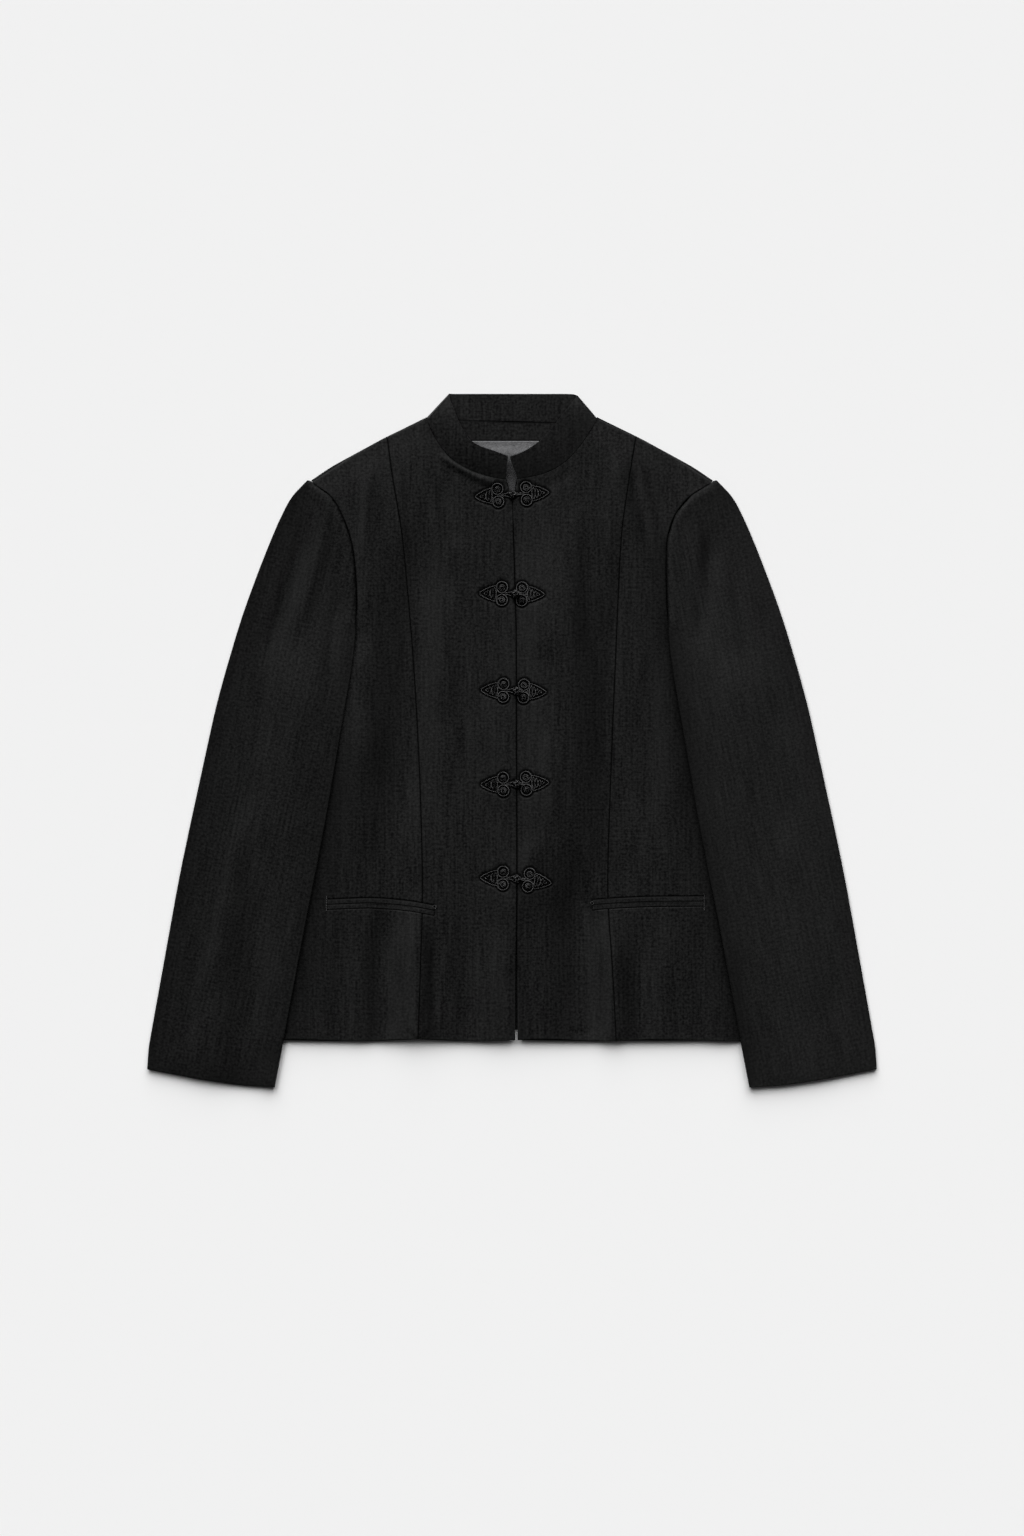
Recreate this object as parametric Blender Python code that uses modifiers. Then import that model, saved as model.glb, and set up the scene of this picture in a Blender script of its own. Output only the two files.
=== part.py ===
# A mandarin collar jacket laid flat on its back, with its sleeves lying over its sides.
# Metres. +X is the wearer's left, +Y runs from the hem up to the collar, +Z up off the table.
# The back lies on the table, the fronts lie on the back, and the sleeves lie on the fronts.
# Where a table gives one distance for both sides, it is measured out from the centre line.

import math

import bmesh
import bpy
from mathutils import Matrix, Vector
from mathutils.bvhtree import BVHTree

# Driving sizes
CLOTH = 0.0020  # wall of the shell cloth with what is fused and lined to it
GAP = 0.0003  # between two pieces at a seam, and between a piece and what it lies on
COLLAR_WALL = 0.0022
FACING_WALL = 0.0010
JET_WALL = 0.0010
FRONT_LOFT = 0.0027  # air between the back and the fronts
SLEEVE_LOFT = 0.0026  # air between a sleeve's two layers
EDGE_ROLL = 0.020  # how far in from an outer edge the fronts reach their full height

BACK_TOP = CLOTH
EDGE_TOP = BACK_TOP + GAP + CLOTH  # two layers pressed together at an outer edge
FRONT_TOP = EDGE_TOP + FRONT_LOFT

LAY_SAMPLES = 6  # a triangle of cloth is tried against what is under it this many times along each edge
LAY_ROUNDS = 4
DRAPE_REACH = 0.003  # how far past an edge the cloth over it stays up
SLOPE = 0.018  # how far past an edge the cloth over it comes down to the table
JET_REACH = 0.001

# How finely each seam is divided
ARMHOLE_STEPS = 6
UNDERARM_STEPS = 4
SIDE_STEPS = 11
PANEL_ROWS = ARMHOLE_STEPS + UNDERARM_STEPS + SIDE_STEPS
SLEEVE_ROWS = 26
NECK_STEPS = 9
SHOULDER_STEPS = 2
SIDE_PANEL_STEPS = 6
SLEEVE_STEPS = 8

RIGHT, LEFT = -1, 1  # the wearer's sides, as the sign of x
SIDES = {"right": RIGHT, "left": LEFT}

# Outer edges: distance out from the centre line, and y
NECK_POINT = (0.0855, 0.3225)
BACK_NECK = [(-0.0855, 0.3225), (-0.052, 0.3205), (0.0, 0.3185), (0.052, 0.3183), NECK_POINT]
SHOULDER = [NECK_POINT, (0.109, 0.312), (0.1335, 0.300), (0.1545, 0.288), (0.1775, 0.276), (0.201, 0.2605)]
SLEEVE_OUTER = [
    (0.2045, 0.2602), (0.2225, 0.240), (0.2415, 0.200), (0.2645, 0.140), (0.2775, 0.100), (0.2945, 0.040),
    (0.3080, -0.020), (0.3335, -0.140), (0.3545, -0.260), (0.3625, -0.300), (0.3650, -0.329),
]
SLEEVE_FOLD = [
    (0.1560, 0.118), (0.1585, 0.085), (0.1640, 0.050), (0.1760, -0.020), (0.1900, -0.100), (0.2060, -0.180),
    (0.2210, -0.260), (0.2375, -0.347),
]
CUFF = [
    (0.2375, -0.347), (0.2670, -0.3455), (0.2930, -0.342), (0.3180, -0.338), (0.3440, -0.333),
    (0.3650, -0.329),
]
UNDERARM = [(0.1555, 0.127), (0.1580, 0.108), (0.1720, 0.088), (0.2020, 0.066), (0.2360, 0.050)]
BODY_SIDE = [(0.2360, 0.050), (0.2290, -0.015), (0.2225, -0.080), (0.2280, -0.170), (0.2400, -0.2975)]
BACK_ARMHOLE = [
    (0.201, 0.2605), (0.1790, 0.226), (0.1680, 0.188), (0.1665, 0.150), (0.1740, 0.110), (0.2360, 0.050),
]
UNDER_SLEEVE_CAP = [(0.2030, 0.2585), (0.1810, 0.226), (0.1700, 0.188), (0.1680, 0.155), (0.1615, 0.130)]

# Seams that differ a little between the sides: y, then the distance out on the right and on the left
ARMHOLE = [
    (0.2580, 0.2010, 0.2010), (0.2510, 0.1880, 0.1870), (0.2370, 0.1760, 0.1710), (0.2200, 0.1675, 0.1600),
    (0.2040, 0.1620, 0.1555), (0.1860, 0.1580, 0.1540), (0.1490, 0.1553, 0.1545), (0.1270, 0.1555, 0.1555),
]
PRINCESS_SEAM = [
    (0.3040, 0.1250, 0.1240), (0.2600, 0.1190, 0.1170), (0.2100, 0.1105, 0.1100), (0.1500, 0.1045, 0.1065),
    (0.0900, 0.0995, 0.1040), (0.0200, 0.0950, 0.1010), (-0.0600, 0.0915, 0.0980), (-0.1300, 0.0897, 0.0958),
    (-0.1750, 0.0897, 0.0968), (-0.2300, 0.0915, 0.1005), (-0.3000, 0.0937, 0.1042),
]
# The two front edges: y, x of the right front's edge, x of the left front's edge
FRONT_EDGES = [
    (0.2615, -0.0062, 0.0050), (0.2550, -0.0035, 0.0028), (0.2500, -0.0003, 0.0004),
    (0.2100, 0.0010, 0.0016),
    (0.1600, 0.0026, 0.0031), (0.1000, 0.0040, 0.0045), (0.0000, 0.0043, 0.0048), (-0.1200, 0.0046, 0.0053),
    (-0.1900, 0.0042, 0.0051), (-0.2400, 0.0034, 0.0053), (-0.3000, 0.0032, 0.0056),
]
HEM_WAVE = 0.0012
HEM_WAVES_PER_METRE = 8.2
BACK_HEM = -0.289
FRONT_HEM = -0.300

# Soft folds of the fronts and of the sleeves: top x and y, bottom x and y, half width, rise
FRONT_FOLDS = [
    (-0.124, 0.190, -0.128, -0.070, 0.016, -0.0009),
    (-0.146, 0.130, -0.176, -0.110, 0.015, 0.0008),
    (-0.104, 0.200, -0.106, 0.110, 0.010, -0.0006),
    (-0.052, 0.150, -0.054, -0.260, 0.020, 0.0007),
    (-0.084, -0.155, -0.074, -0.290, 0.009, -0.0008),
    (-0.118, -0.180, -0.122, -0.300, 0.014, 0.0009),
    (-0.150, -0.190, -0.152, -0.290, 0.013, -0.0008),
    (0.064, 0.225, 0.040, 0.015, 0.016, -0.0009),
    (0.066, 0.090, 0.034, -0.270, 0.017, -0.0008),
    (0.082, 0.130, 0.080, -0.120, 0.014, 0.0007),
    (0.130, 0.130, 0.124, -0.120, 0.018, 0.0006),
    (0.146, 0.250, 0.146, 0.150, 0.008, -0.0008),
    (0.092, -0.190, 0.090, -0.300, 0.010, 0.0009),
    (0.120, -0.185, 0.116, -0.290, 0.012, -0.0008),
]
SLEEVE_FOLDS = [
    (-0.215, 0.170, -0.262, -0.150, 0.018, 0.0009),
    (-0.246, 0.060, -0.290, -0.200, 0.016, -0.0009),
    (-0.268, -0.150, -0.306, -0.330, 0.015, 0.0008),
    (0.196, 0.190, 0.216, 0.020, 0.016, 0.0008),
    (0.232, 0.130, 0.270, -0.130, 0.017, -0.0009),
    (0.292, -0.050, 0.322, -0.260, 0.014, 0.0008),
]

# Collar: points of its wall's middle at the neck seam and at its top edge, from the right front end,
# round the right fold, along the back and round the left fold to the left front end
COLLAR_BACK_MIDDLE = COLLAR_WALL / 2 + 0.0001
COLLAR_SECTIONS = [
    # seam x, seam y, seam z, top x, top y, top z
    (-0.0062, 0.2618, 0.0062, -0.0040, 0.2840, 0.0132),
    (-0.0200, 0.2643, 0.0062, -0.0186, 0.2895, 0.0136),
    (-0.0350, 0.2683, 0.0062, -0.0310, 0.2935, 0.0136),
    (-0.0480, 0.2743, 0.0062, -0.0400, 0.2985, 0.0134),
    (-0.0615, 0.2833, 0.0061, -0.0470, 0.3070, 0.0128),
    (-0.0727, 0.2973, 0.0060, -0.0538, 0.3200, 0.0118),
    (-0.0800, 0.3103, 0.0057, -0.0592, 0.3345, 0.0102),
    (-0.0838, 0.3192, 0.0052, -0.0625, 0.3430, 0.0078),
    (-0.0856, 0.3240, 0.0034, -0.0645, 0.3468, 0.0044),
    (-0.0825, 0.3233, COLLAR_BACK_MIDDLE, -0.0615, 0.3470, COLLAR_BACK_MIDDLE),
    (-0.0520, 0.3212, COLLAR_BACK_MIDDLE, -0.0400, 0.3470, COLLAR_BACK_MIDDLE),
    (0.0000, 0.3195, COLLAR_BACK_MIDDLE, 0.0000, 0.3470, COLLAR_BACK_MIDDLE),
    (0.0520, 0.3190, COLLAR_BACK_MIDDLE, 0.0400, 0.3470, COLLAR_BACK_MIDDLE),
    (0.0825, 0.3233, COLLAR_BACK_MIDDLE, 0.0615, 0.3470, COLLAR_BACK_MIDDLE),
    (0.0856, 0.3240, 0.0034, 0.0650, 0.3466, 0.0044),
    (0.0836, 0.3188, 0.0052, 0.0640, 0.3420, 0.0078),
    (0.0797, 0.3133, 0.0057, 0.0590, 0.3370, 0.0102),
    (0.0717, 0.3006, 0.0060, 0.0530, 0.3290, 0.0118),
    (0.0608, 0.2868, 0.0061, 0.0430, 0.3160, 0.0128),
    (0.0488, 0.2763, 0.0062, 0.0310, 0.3020, 0.0134),
    (0.0350, 0.2688, 0.0062, 0.0200, 0.2935, 0.0136),
    (0.0180, 0.2643, 0.0062, 0.0095, 0.2870, 0.0136),
    (0.0054, 0.2623, 0.0062, 0.0008, 0.2835, 0.0132),
]
COLLAR_FRONT_ROWS = 8  # of the sections, those of one front
COLLAR_ROWS = 44
COLLAR_STEPS = 3
COLLAR_BULGE = 0.0012
COLLAR_SEAM = 0.0011  # from the collar's seam edge to the fronts' neck edge, as the collar leans over it
NECK_MIDDLE = (0.0, 0.330)

# Inside of the neck
FACING = [(-0.060, 0.3185), (-0.030, 0.3175), (0.0, 0.3162), (0.030, 0.3158), (0.060, 0.3160)]
FACING_BOTTOM = 0.3000
LINING_BOTTOM = 0.2350
NECK_INNER_HALF = 0.060

# Jetted pockets: x and y along the middle line of each mouth
POCKET_MOUTH = {
    RIGHT: [(-0.185, -0.1640), (-0.160, -0.1630), (-0.136, -0.1626), (-0.101, -0.1657), (-0.078, -0.1700)],
    LEFT: [(0.0805, -0.1643), (0.095, -0.1632), (0.115, -0.1620), (0.144, -0.1610), (0.1915, -0.1607)],
}
JET_HEIGHT = 0.0048
POCKET_STEPS = 10

# Frogs: y of each one's middle, and the turn of its right and left half in degrees
FROGS = [
    (0.2460, 4.0, 3.0), (0.1465, -1.0, -1.5), (0.0495, -1.5, -3.0), (-0.0435, 1.5, 2.5),
    (-0.1380, -1.0, -8.0),
]
CORD = 0.0011  # radius of the cord that the frogs are knotted from
COIL_RADIUS, COIL_SIDES = 0.0059, 10
COIL_OUT, COIL_UP = 0.0118, 0.0064  # from the frog's middle out to its coils, and up or down to each
COIL_PROFILE = [  # share of the radius, height
    (0.0, 0.0030), (0.3, 0.0022), (0.62, 0.0029), (1.0, 0.0015), (1.0, 0.0), (0.0, 0.0),
]
LEAF_START, LEAF_END = 0.0150, 0.0340
LEAF_PROFILE = [(0.0, 0.0085), (0.007, 0.0073), (0.014, 0.0042)]  # distance past its start, half width
STRAND_ENDS = [(0.0005, -0.0045), (0.0115, 0.0060)]  # distance past the leaf's start, and up
STEM_END = 0.0175
LOOP_NECK_START, LOOP_NECK_END, LOOP_NECK_HALF = 0.0045, 0.0100, 0.0013
EYE_RADIUS = 0.0027  # of the loop's eye, at the cord's middle
EYE_OPENING, EYE_SIDES = 50, 6  # degrees from the outward side to the eye's start, and its straight runs
BUTTON_STEM, BUTTON_RADIUS = 0.0012, 0.0042
BUTTON_LOW, BUTTON_HIGH, BUTTON_SIDES, BUTTON_RINGS = 0.0026, 0.0088, 12, 6

CLOTH_BLACK = (0.0125, 0.0125, 0.0130, 1.0)
CORD_BLACK = (0.0090, 0.0090, 0.0095, 1.0)
LINING_GREY = (0.1300, 0.1300, 0.1330, 1.0)


def clear_scene():
    for obj in list(bpy.data.objects):
        bpy.data.objects.remove(obj)


def collection_named(name, shown=True):
    made = bpy.data.collections.new(name)
    made.hide_render = not shown
    bpy.context.scene.collection.children.link(made)
    return made


def material(name, colour, roughness):
    made = bpy.data.materials.new(name)
    made.use_nodes = True
    made.diffuse_color = colour
    shader = made.node_tree.nodes["Principled BSDF"]
    shader.inputs["Base Color"].default_value = colour
    shader.inputs["Roughness"].default_value = roughness
    shader.inputs["Metallic"].default_value = 0.0
    return made


def add_object(name, mesh, finish, home):
    made = bpy.data.objects.new(name, mesh)
    mesh.materials.append(finish)
    home.objects.link(made)
    return made


# Curves and patches in the plane of the table


def smooth(share):
    share = min(1.0, max(0.0, share))
    return share * share * (3 - 2 * share)


def mix(a, b, share):
    return [p + (q - p) * share for p, q in zip(a, b)]


def through(points, steps, fineness=12):
    """A smooth curve through the points, as steps + 1 points an even distance apart."""
    ends = [mix(points[0], points[1], -1.0), *points, mix(points[-1], points[-2], -1.0)]
    fine = []
    for a, b, c, d in zip(ends, ends[1:], ends[2:], ends[3:]):
        for i in range(fineness):
            t = i / fineness
            fine.append([
                q + 0.5 * t * ((r - p) + t * (2 * p - 5 * q + 4 * r - s + t * (3 * q - p - 3 * r + s)))
                for p, q, r, s in zip(a, b, c, d)
            ])
    fine.append(list(points[-1]))
    lengths = [0.0]
    for a, b in zip(fine, fine[1:]):
        lengths.append(lengths[-1] + math.dist(a, b))
    made, at = [], 0
    for i in range(steps + 1):
        want = lengths[-1] * i / steps
        while at < len(fine) - 2 and lengths[at + 1] < want:
            at += 1
        made.append(mix(fine[at], fine[at + 1], (want - lengths[at]) / (lengths[at + 1] - lengths[at])))
    return made


def on_side(points, side, out=0.0):
    """Points given by their distance out, put on one side, and moved out by a little."""
    return [(side * (x + out), y) for x, y in points]


def seam_on(table, side, out=0.0):
    """A seam of a table that gives y and then each side's distance out."""
    column = 1 if side == RIGHT else 2
    return [(side * (row[column] + out), row[0]) for row in table]


def patch(top, bottom, start, end):
    """Rows of points that fill the area between four edges."""
    rows = []
    for i in range(len(start)):
        v = i / (len(start) - 1)
        row = []
        for j in range(len(top)):
            u = j / (len(top) - 1)
            row.append([
                (1 - v) * top[j][k] + v * bottom[j][k] + (1 - u) * start[i][k] + u * end[i][k]
                - (1 - v) * ((1 - u) * top[0][k] + u * top[-1][k])
                - v * ((1 - u) * bottom[0][k] + u * bottom[-1][k])
                for k in (0, 1)
            ])
        rows.append(row)
    return rows


def nearest_distance(x, y, line):
    """How far a point is from a line of straight runs."""
    least = math.inf
    for (ax, ay), (bx, by) in zip(line, line[1:]):
        long = (bx - ax) ** 2 + (by - ay) ** 2
        t = min(1.0, max(0.0, ((x - ax) * (bx - ax) + (y - ay) * (by - ay)) / long))
        least = min(least, math.hypot(x - ax - t * (bx - ax), y - ay - t * (by - ay)))
    return least


def folds_at(x, y, folds):
    """How much the soft folds raise or lower the cloth at a point."""
    total = 0.0
    for top_x, top_y, bottom_x, bottom_y, half_width, rise in folds:
        along_x, along_y = bottom_x - top_x, bottom_y - top_y
        long = math.hypot(along_x, along_y)
        t = ((x - top_x) * along_x + (y - top_y) * along_y) / long ** 2
        across = ((x - top_x) * along_y - (y - top_y) * along_x) / long
        total += rise * smooth(t / 0.25) * smooth((1 - t) / 0.12 if bottom_y > -0.28 else 1.0) \
            * math.exp(-((across / half_width) ** 2))
    return total


def front_height(x, y):
    """Top of the fronts. They lie close to the back along the shoulders and the sides."""
    shoulder = nearest_distance(abs(x), y, SHOULDER)
    side = nearest_distance(abs(x), y, UNDERARM[1:] + BODY_SIDE[1:])
    share = smooth(min(shoulder, side) / EDGE_ROLL)
    return EDGE_TOP + share * (FRONT_TOP - EDGE_TOP + folds_at(x, y, FRONT_FOLDS))


def hem_y(x):
    return FRONT_HEM + HEM_WAVE * math.sin(x * HEM_WAVES_PER_METRE * math.tau)


# Solids


def triangles(row_count, column_count):
    """The grid's triangles, each as three pairs of row and column, split the same way throughout."""
    for i in range(row_count - 1):
        for j in range(column_count - 1):
            yield (i, j), (i + 1, j), (i + 1, j + 1)
            yield (i, j), (i + 1, j + 1), (i, j + 1)


def wall(name, rows, tops, thickness, finish, home):
    """A piece of cloth from a grid of its top points, closed through the same points lower down."""
    count, columns = len(rows), len(rows[0])
    flat = [(x, y, z) for row, heights in zip(rows, tops) for (x, y), z in zip(row, heights)]
    points = flat + [(x, y, z - thickness) for x, y, z in flat]
    below = len(flat)
    faces = []
    for corners in triangles(count, columns):
        top = [i * columns + j for i, j in corners]
        faces += [tuple(top), tuple(below + k for k in reversed(top))]
    rim = [j for j in range(columns)] + [i * columns + columns - 1 for i in range(1, count)]
    rim += [(count - 1) * columns + j for j in range(columns - 2, -1, -1)]
    rim += [i * columns for i in range(count - 2, 0, -1)]
    for a, b in zip(rim, rim[1:] + rim[:1]):
        faces.append((a, b, below + b, below + a))
    mesh = bpy.data.meshes.new(name)
    mesh.from_pydata(points, [], faces)
    # The rows run the same way round on both sides of the body, so one side's faces start inside out.
    if signed_volume(mesh) < 0:
        mesh.flip_normals()
    mesh.shade_smooth()
    mesh.set_sharp_from_angle(angle=math.radians(50))
    return add_object(name, mesh, finish, home)


def signed_volume(mesh):
    total = 0.0
    mesh.calc_loop_triangles()
    for triangle in mesh.loop_triangles:
        a, b, c = (mesh.vertices[i].co for i in triangle.vertices)
        total += a.dot(b.cross(c)) / 6
    return total


def flat_piece(name, outline, low, thickness, finish, home):
    """A flat cut piece: a filled outline, given thickness."""
    curve = bpy.data.curves.new(name, "CURVE")
    curve.dimensions = "2D"
    curve.fill_mode = "BOTH"
    curve.extrude = thickness / 2
    spline = curve.splines.new("POLY")
    spline.points.add(len(outline) - 1)
    for point, (x, y) in zip(spline.points, outline):
        point.co = (x, y, 0.0, 1.0)
    spline.use_cyclic_u = True
    made = add_object(name, curve, finish, home)
    made.location.z = low + thickness / 2
    return made


def surface_of(objects):
    """The shapes of these objects as one tree that rays can be cast on."""
    bpy.context.view_layer.update()
    graph = bpy.context.evaluated_depsgraph_get()
    points, faces = [], []
    for obj in objects:
        evaluated = obj.evaluated_get(graph)
        mesh = evaluated.to_mesh()
        first = len(points)
        points += [evaluated.matrix_world @ v.co for v in mesh.vertices]
        faces += [tuple(first + i for i in face.vertices) for face in mesh.polygons]
        evaluated.to_mesh_clear()
    return BVHTree.FromPolygons(points, faces)


def height_over(tree, x, y, offsets=((0.0, 0.0),)):
    """The highest surface under a point, or under any of the offsets from it. The table is at zero."""
    highest = 0.0
    for dx, dy in offsets:
        hit = tree.ray_cast(Vector((x + dx, y + dy, 1.0)), Vector((0, 0, -1)))[0]
        if hit:
            highest = max(highest, hit.z)
    return highest


def offsets_around(reach, directions):
    """The point itself, and points all round it at half the reach and at the whole of it."""
    made = [(0.0, 0.0)]
    for distance in (reach / 2, reach):
        for k in range(directions):
            angle = k * math.tau / directions
            made.append((distance * math.cos(angle), distance * math.sin(angle)))
    return made


def lay_on(tree, rows, tops, thickness, reach):
    """Raises the cloth just enough to lie clear of what is under it, or within reach of being under it."""
    n = LAY_SAMPLES
    offsets = offsets_around(reach, 4)
    shares = [(a / n, b / n, (n - a - b) / n) for a in range(n + 1) for b in range(n + 1 - a)]
    for _ in range(LAY_ROUNDS):
        for corners in triangles(len(rows), len(rows[0])):
            for weights in shares:
                points = [(*rows[i][j], tops[i][j]) for i, j in corners]
                x, y, top = (sum(w * value for w, value in zip(weights, values)) for values in zip(*points))
                short = height_over(tree, x, y, offsets) + GAP + thickness - top
                if short > 0:
                    spread = sum(w * w for w in weights)
                    for w, (i, j) in zip(weights, corners):
                        tops[i][j] += short * w / spread
    return tops


# The pieces of the jacket


def make_back(cloth, home):
    neck = through(BACK_NECK, 8)
    one_side = through(SHOULDER, 5)[1:-1] + through(BACK_ARMHOLE, 10)[:-1] + through(BODY_SIDE, 8)[:-1]
    corner = (BODY_SIDE[-1][0], BACK_HEM)
    left = [*one_side, corner]
    right = [(-x, y) for x, y in reversed(left)]
    # The collar's seam edge follows the neck line, so the neck edge lies a seam's gap below it.
    outline = [(x, y - GAP) for x, y in neck] + left + right
    return flat_piece("back", outline, 0.0, CLOTH, cloth, home)


def front_edge_on(side):
    column = 1 if side == RIGHT else 2
    return [(row[column], row[0]) for row in FRONT_EDGES]


def neck_edge_on(side):
    """A front's neck edge, from the centre front round to the neck point, just clear of the collar."""
    sections = COLLAR_SECTIONS if side == RIGHT else COLLAR_SECTIONS[::-1]
    middle = Vector(NECK_MIDDLE)
    line = []
    for x, y, *_ in sections[:COLLAR_FRONT_ROWS]:
        away = Vector((x, y)) - middle
        line.append(middle + away * (1 + COLLAR_SEAM / away.length))
    return [tuple(point) for point in line] + [(side * NECK_POINT[0], NECK_POINT[1])]


def make_front_centre(name, side, cloth, home):
    princess = through(seam_on(PRINCESS_SEAM, side, -GAP / 2), PANEL_ROWS)
    edge = through(front_edge_on(side), PANEL_ROWS)
    neck = through(neck_edge_on(side), NECK_STEPS)
    shoulder = through([neck[-1], princess[0]], SHOULDER_STEPS)
    top = neck[:-1] + shoulder
    edge[0] = top[0]
    bottom = through([edge[-1], princess[-1]], len(top) - 1)
    bottom = [(x, hem_y(x)) for x, y in bottom]
    edge[-1], princess[-1] = bottom[0], bottom[-1]
    rows = patch(top, bottom, edge, princess)
    heights = [[front_height(x, y) for x, y in row] for row in rows]
    return wall(name, rows, heights, CLOTH, cloth, home)


def make_front_side(name, side, cloth, home):
    princess = through(seam_on(PRINCESS_SEAM, side, GAP / 2), PANEL_ROWS)
    outer = through(seam_on(ARMHOLE, side), ARMHOLE_STEPS)
    outer += through(on_side(UNDERARM, side), UNDERARM_STEPS)[1:]
    outer += through(on_side(BODY_SIDE, side), SIDE_STEPS)[1:]
    top = through([princess[0], on_side([SHOULDER[3]], side)[0], outer[0]], SIDE_PANEL_STEPS)
    bottom = through([princess[-1], outer[-1]], SIDE_PANEL_STEPS)
    bottom = [(x, hem_y(x)) for x, y in bottom]
    princess[-1], outer[-1] = bottom[0], bottom[-1]
    rows = patch(top, bottom, princess, outer)
    heights = [[front_height(x, y) for x, y in row] for row in rows]
    return wall(name, rows, heights, CLOTH, cloth, home)


def sleeve_grid(cap, side):
    """Rows from the cap, the edge at the armhole, down to the cuff, each from the inner edge out."""
    inner = through(cap, ARMHOLE_STEPS)
    inner += through(on_side(SLEEVE_FOLD, side), SLEEVE_ROWS - ARMHOLE_STEPS - 1)
    outer = through(on_side(SLEEVE_OUTER, side), SLEEVE_ROWS)
    cuff = through(on_side(CUFF, side), SLEEVE_STEPS)
    inner[-1], outer[-1] = cuff[0], cuff[-1]
    top = through([inner[0], outer[0]], SLEEVE_STEPS)
    return patch(top, cuff, inner, outer)


def make_under_sleeve(name, side, body, cloth, home):
    rows = sleeve_grid(on_side(UNDER_SLEEVE_CAP, side), side)
    tree = surface_of(body)
    slope = offsets_around(SLOPE, 8)
    held = [[height_over(tree, x, y, slope) for x, y in row] for row in rows]
    heights = [[z + GAP + CLOTH if z else CLOTH for z in row] for row in held]
    heights = lay_on(tree, rows, heights, CLOTH, DRAPE_REACH)
    under = wall(name, rows, heights, CLOTH, cloth, home)
    return under, heights


def make_top_sleeve(name, side, below, under_heights, cloth, home):
    rows = sleeve_grid(seam_on(ARMHOLE, side, GAP), side)
    heights = []
    for i, (row, under) in enumerate(zip(rows, under_heights)):
        heights.append([])
        cap_rise = front_height(*row[0]) - EDGE_TOP
        past = smooth((i - ARMHOLE_STEPS + 2) / 3)
        for j, ((x, y), under_top) in enumerate(zip(row, under)):
            u = j / SLEEVE_STEPS
            tube = (4 * u * (1 - u)) ** 0.6 if 0 < u < 1 else 0.0
            rise = cap_rise * math.sqrt(1 - u * u) * (1 - past) + SLEEVE_LOFT * tube * past
            rise += tube * past * folds_at(x, y, SLEEVE_FOLDS)
            heights[-1].append(under_top + GAP + CLOTH + rise)
    heights = lay_on(surface_of(below), rows, heights, CLOTH, DRAPE_REACH)
    return wall(name, rows, heights, CLOTH, cloth, home)


def make_collar(cloth, home):
    sections = through([list(row) for row in COLLAR_SECTIONS], COLLAR_ROWS)
    points = []
    for sx, sy, sz, tx, ty, tz in sections:
        seam, top = Vector((sx, sy, sz)), Vector((tx, ty, tz))
        standing = smooth((tz - COLLAR_BACK_MIDDLE) / 0.004)
        for j in range(COLLAR_STEPS + 1):
            t = j / COLLAR_STEPS
            point = seam.lerp(top, t)
            point.z += standing * COLLAR_BULGE * math.sin(math.pi * t)
            points.append(point)
    width = COLLAR_STEPS + 1
    faces = []
    for i in range(len(sections) - 1):
        for j in range(COLLAR_STEPS):
            a = i * width + j
            faces.append((a, a + width, a + width + 1, a + 1))
    mesh = bpy.data.meshes.new("collar")
    mesh.from_pydata(points, [], faces)
    mesh.shade_smooth()
    collar = add_object("collar", mesh, cloth, home)
    thicken = collar.modifiers.new("Wall", "SOLIDIFY")
    thicken.thickness = COLLAR_WALL
    thicken.offset = 0.0


def make_neck_inside(cloth, lining, home):
    upper = through(FACING, 6)
    facing = upper + [(NECK_INNER_HALF, FACING_BOTTOM), (-NECK_INNER_HALF, FACING_BOTTOM)]
    low = BACK_TOP + GAP
    flat_piece("neck_facing", facing, low, FACING_WALL, cloth, home)
    top, half = FACING_BOTTOM - GAP, NECK_INNER_HALF
    outline = [(-half, top), (half, top), (half, LINING_BOTTOM), (-half, LINING_BOTTOM)]
    flat_piece("neck_lining", outline, low, FACING_WALL, lining, home)


def make_pocket(name, side, fronts, cloth, home):
    """The two jets of one pocket mouth. Each lies on the front and is made from the front's own height."""
    tree = surface_of(fronts)
    mouth = through(POCKET_MOUTH[side], POCKET_STEPS)
    for label, up in (("upper", 1), ("lower", -1)):
        edges = []
        for away in (GAP / 2, GAP / 2 + JET_HEIGHT):
            edges.append([(x, y + up * away) for x, y in mouth])
        rows = [list(pair) for pair in zip(*edges)]
        heights = [[height_over(tree, x, y) + GAP + JET_WALL for x, y in row] for row in rows]
        heights = lay_on(tree, rows, heights, JET_WALL, JET_REACH)
        wall(f"pocket_{name}_{label}_jet", rows, heights, JET_WALL, cloth, home)


# Frogs: coiled and knotted cord, half of it on each front


def mesh_from(obj):
    """The evaluated shape of a helper as a closed mesh, and the helper removed."""
    bpy.context.view_layer.update()
    graph = bpy.context.evaluated_depsgraph_get()
    mesh = bpy.data.meshes.new_from_object(obj.evaluated_get(graph))
    mesh.transform(obj.matrix_world)
    bpy.data.objects.remove(obj)
    return mesh


def turned(profile, steps, home):
    """A turned shape, from a profile of radius and height that runs down its outer side."""
    mesh = bpy.data.meshes.new("profile")
    mesh.from_pydata([(r, 0.0, z) for r, z in profile], [(i, i + 1) for i in range(len(profile) - 1)], [])
    obj = bpy.data.objects.new("profile", mesh)
    home.objects.link(obj)
    screw = obj.modifiers.new("Turn", "SCREW")
    screw.steps = screw.render_steps = steps
    screw.use_merge_vertices = True
    screw.merge_threshold = 0.00001
    mesh = mesh_from(obj)
    weld(mesh)
    return mesh


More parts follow.
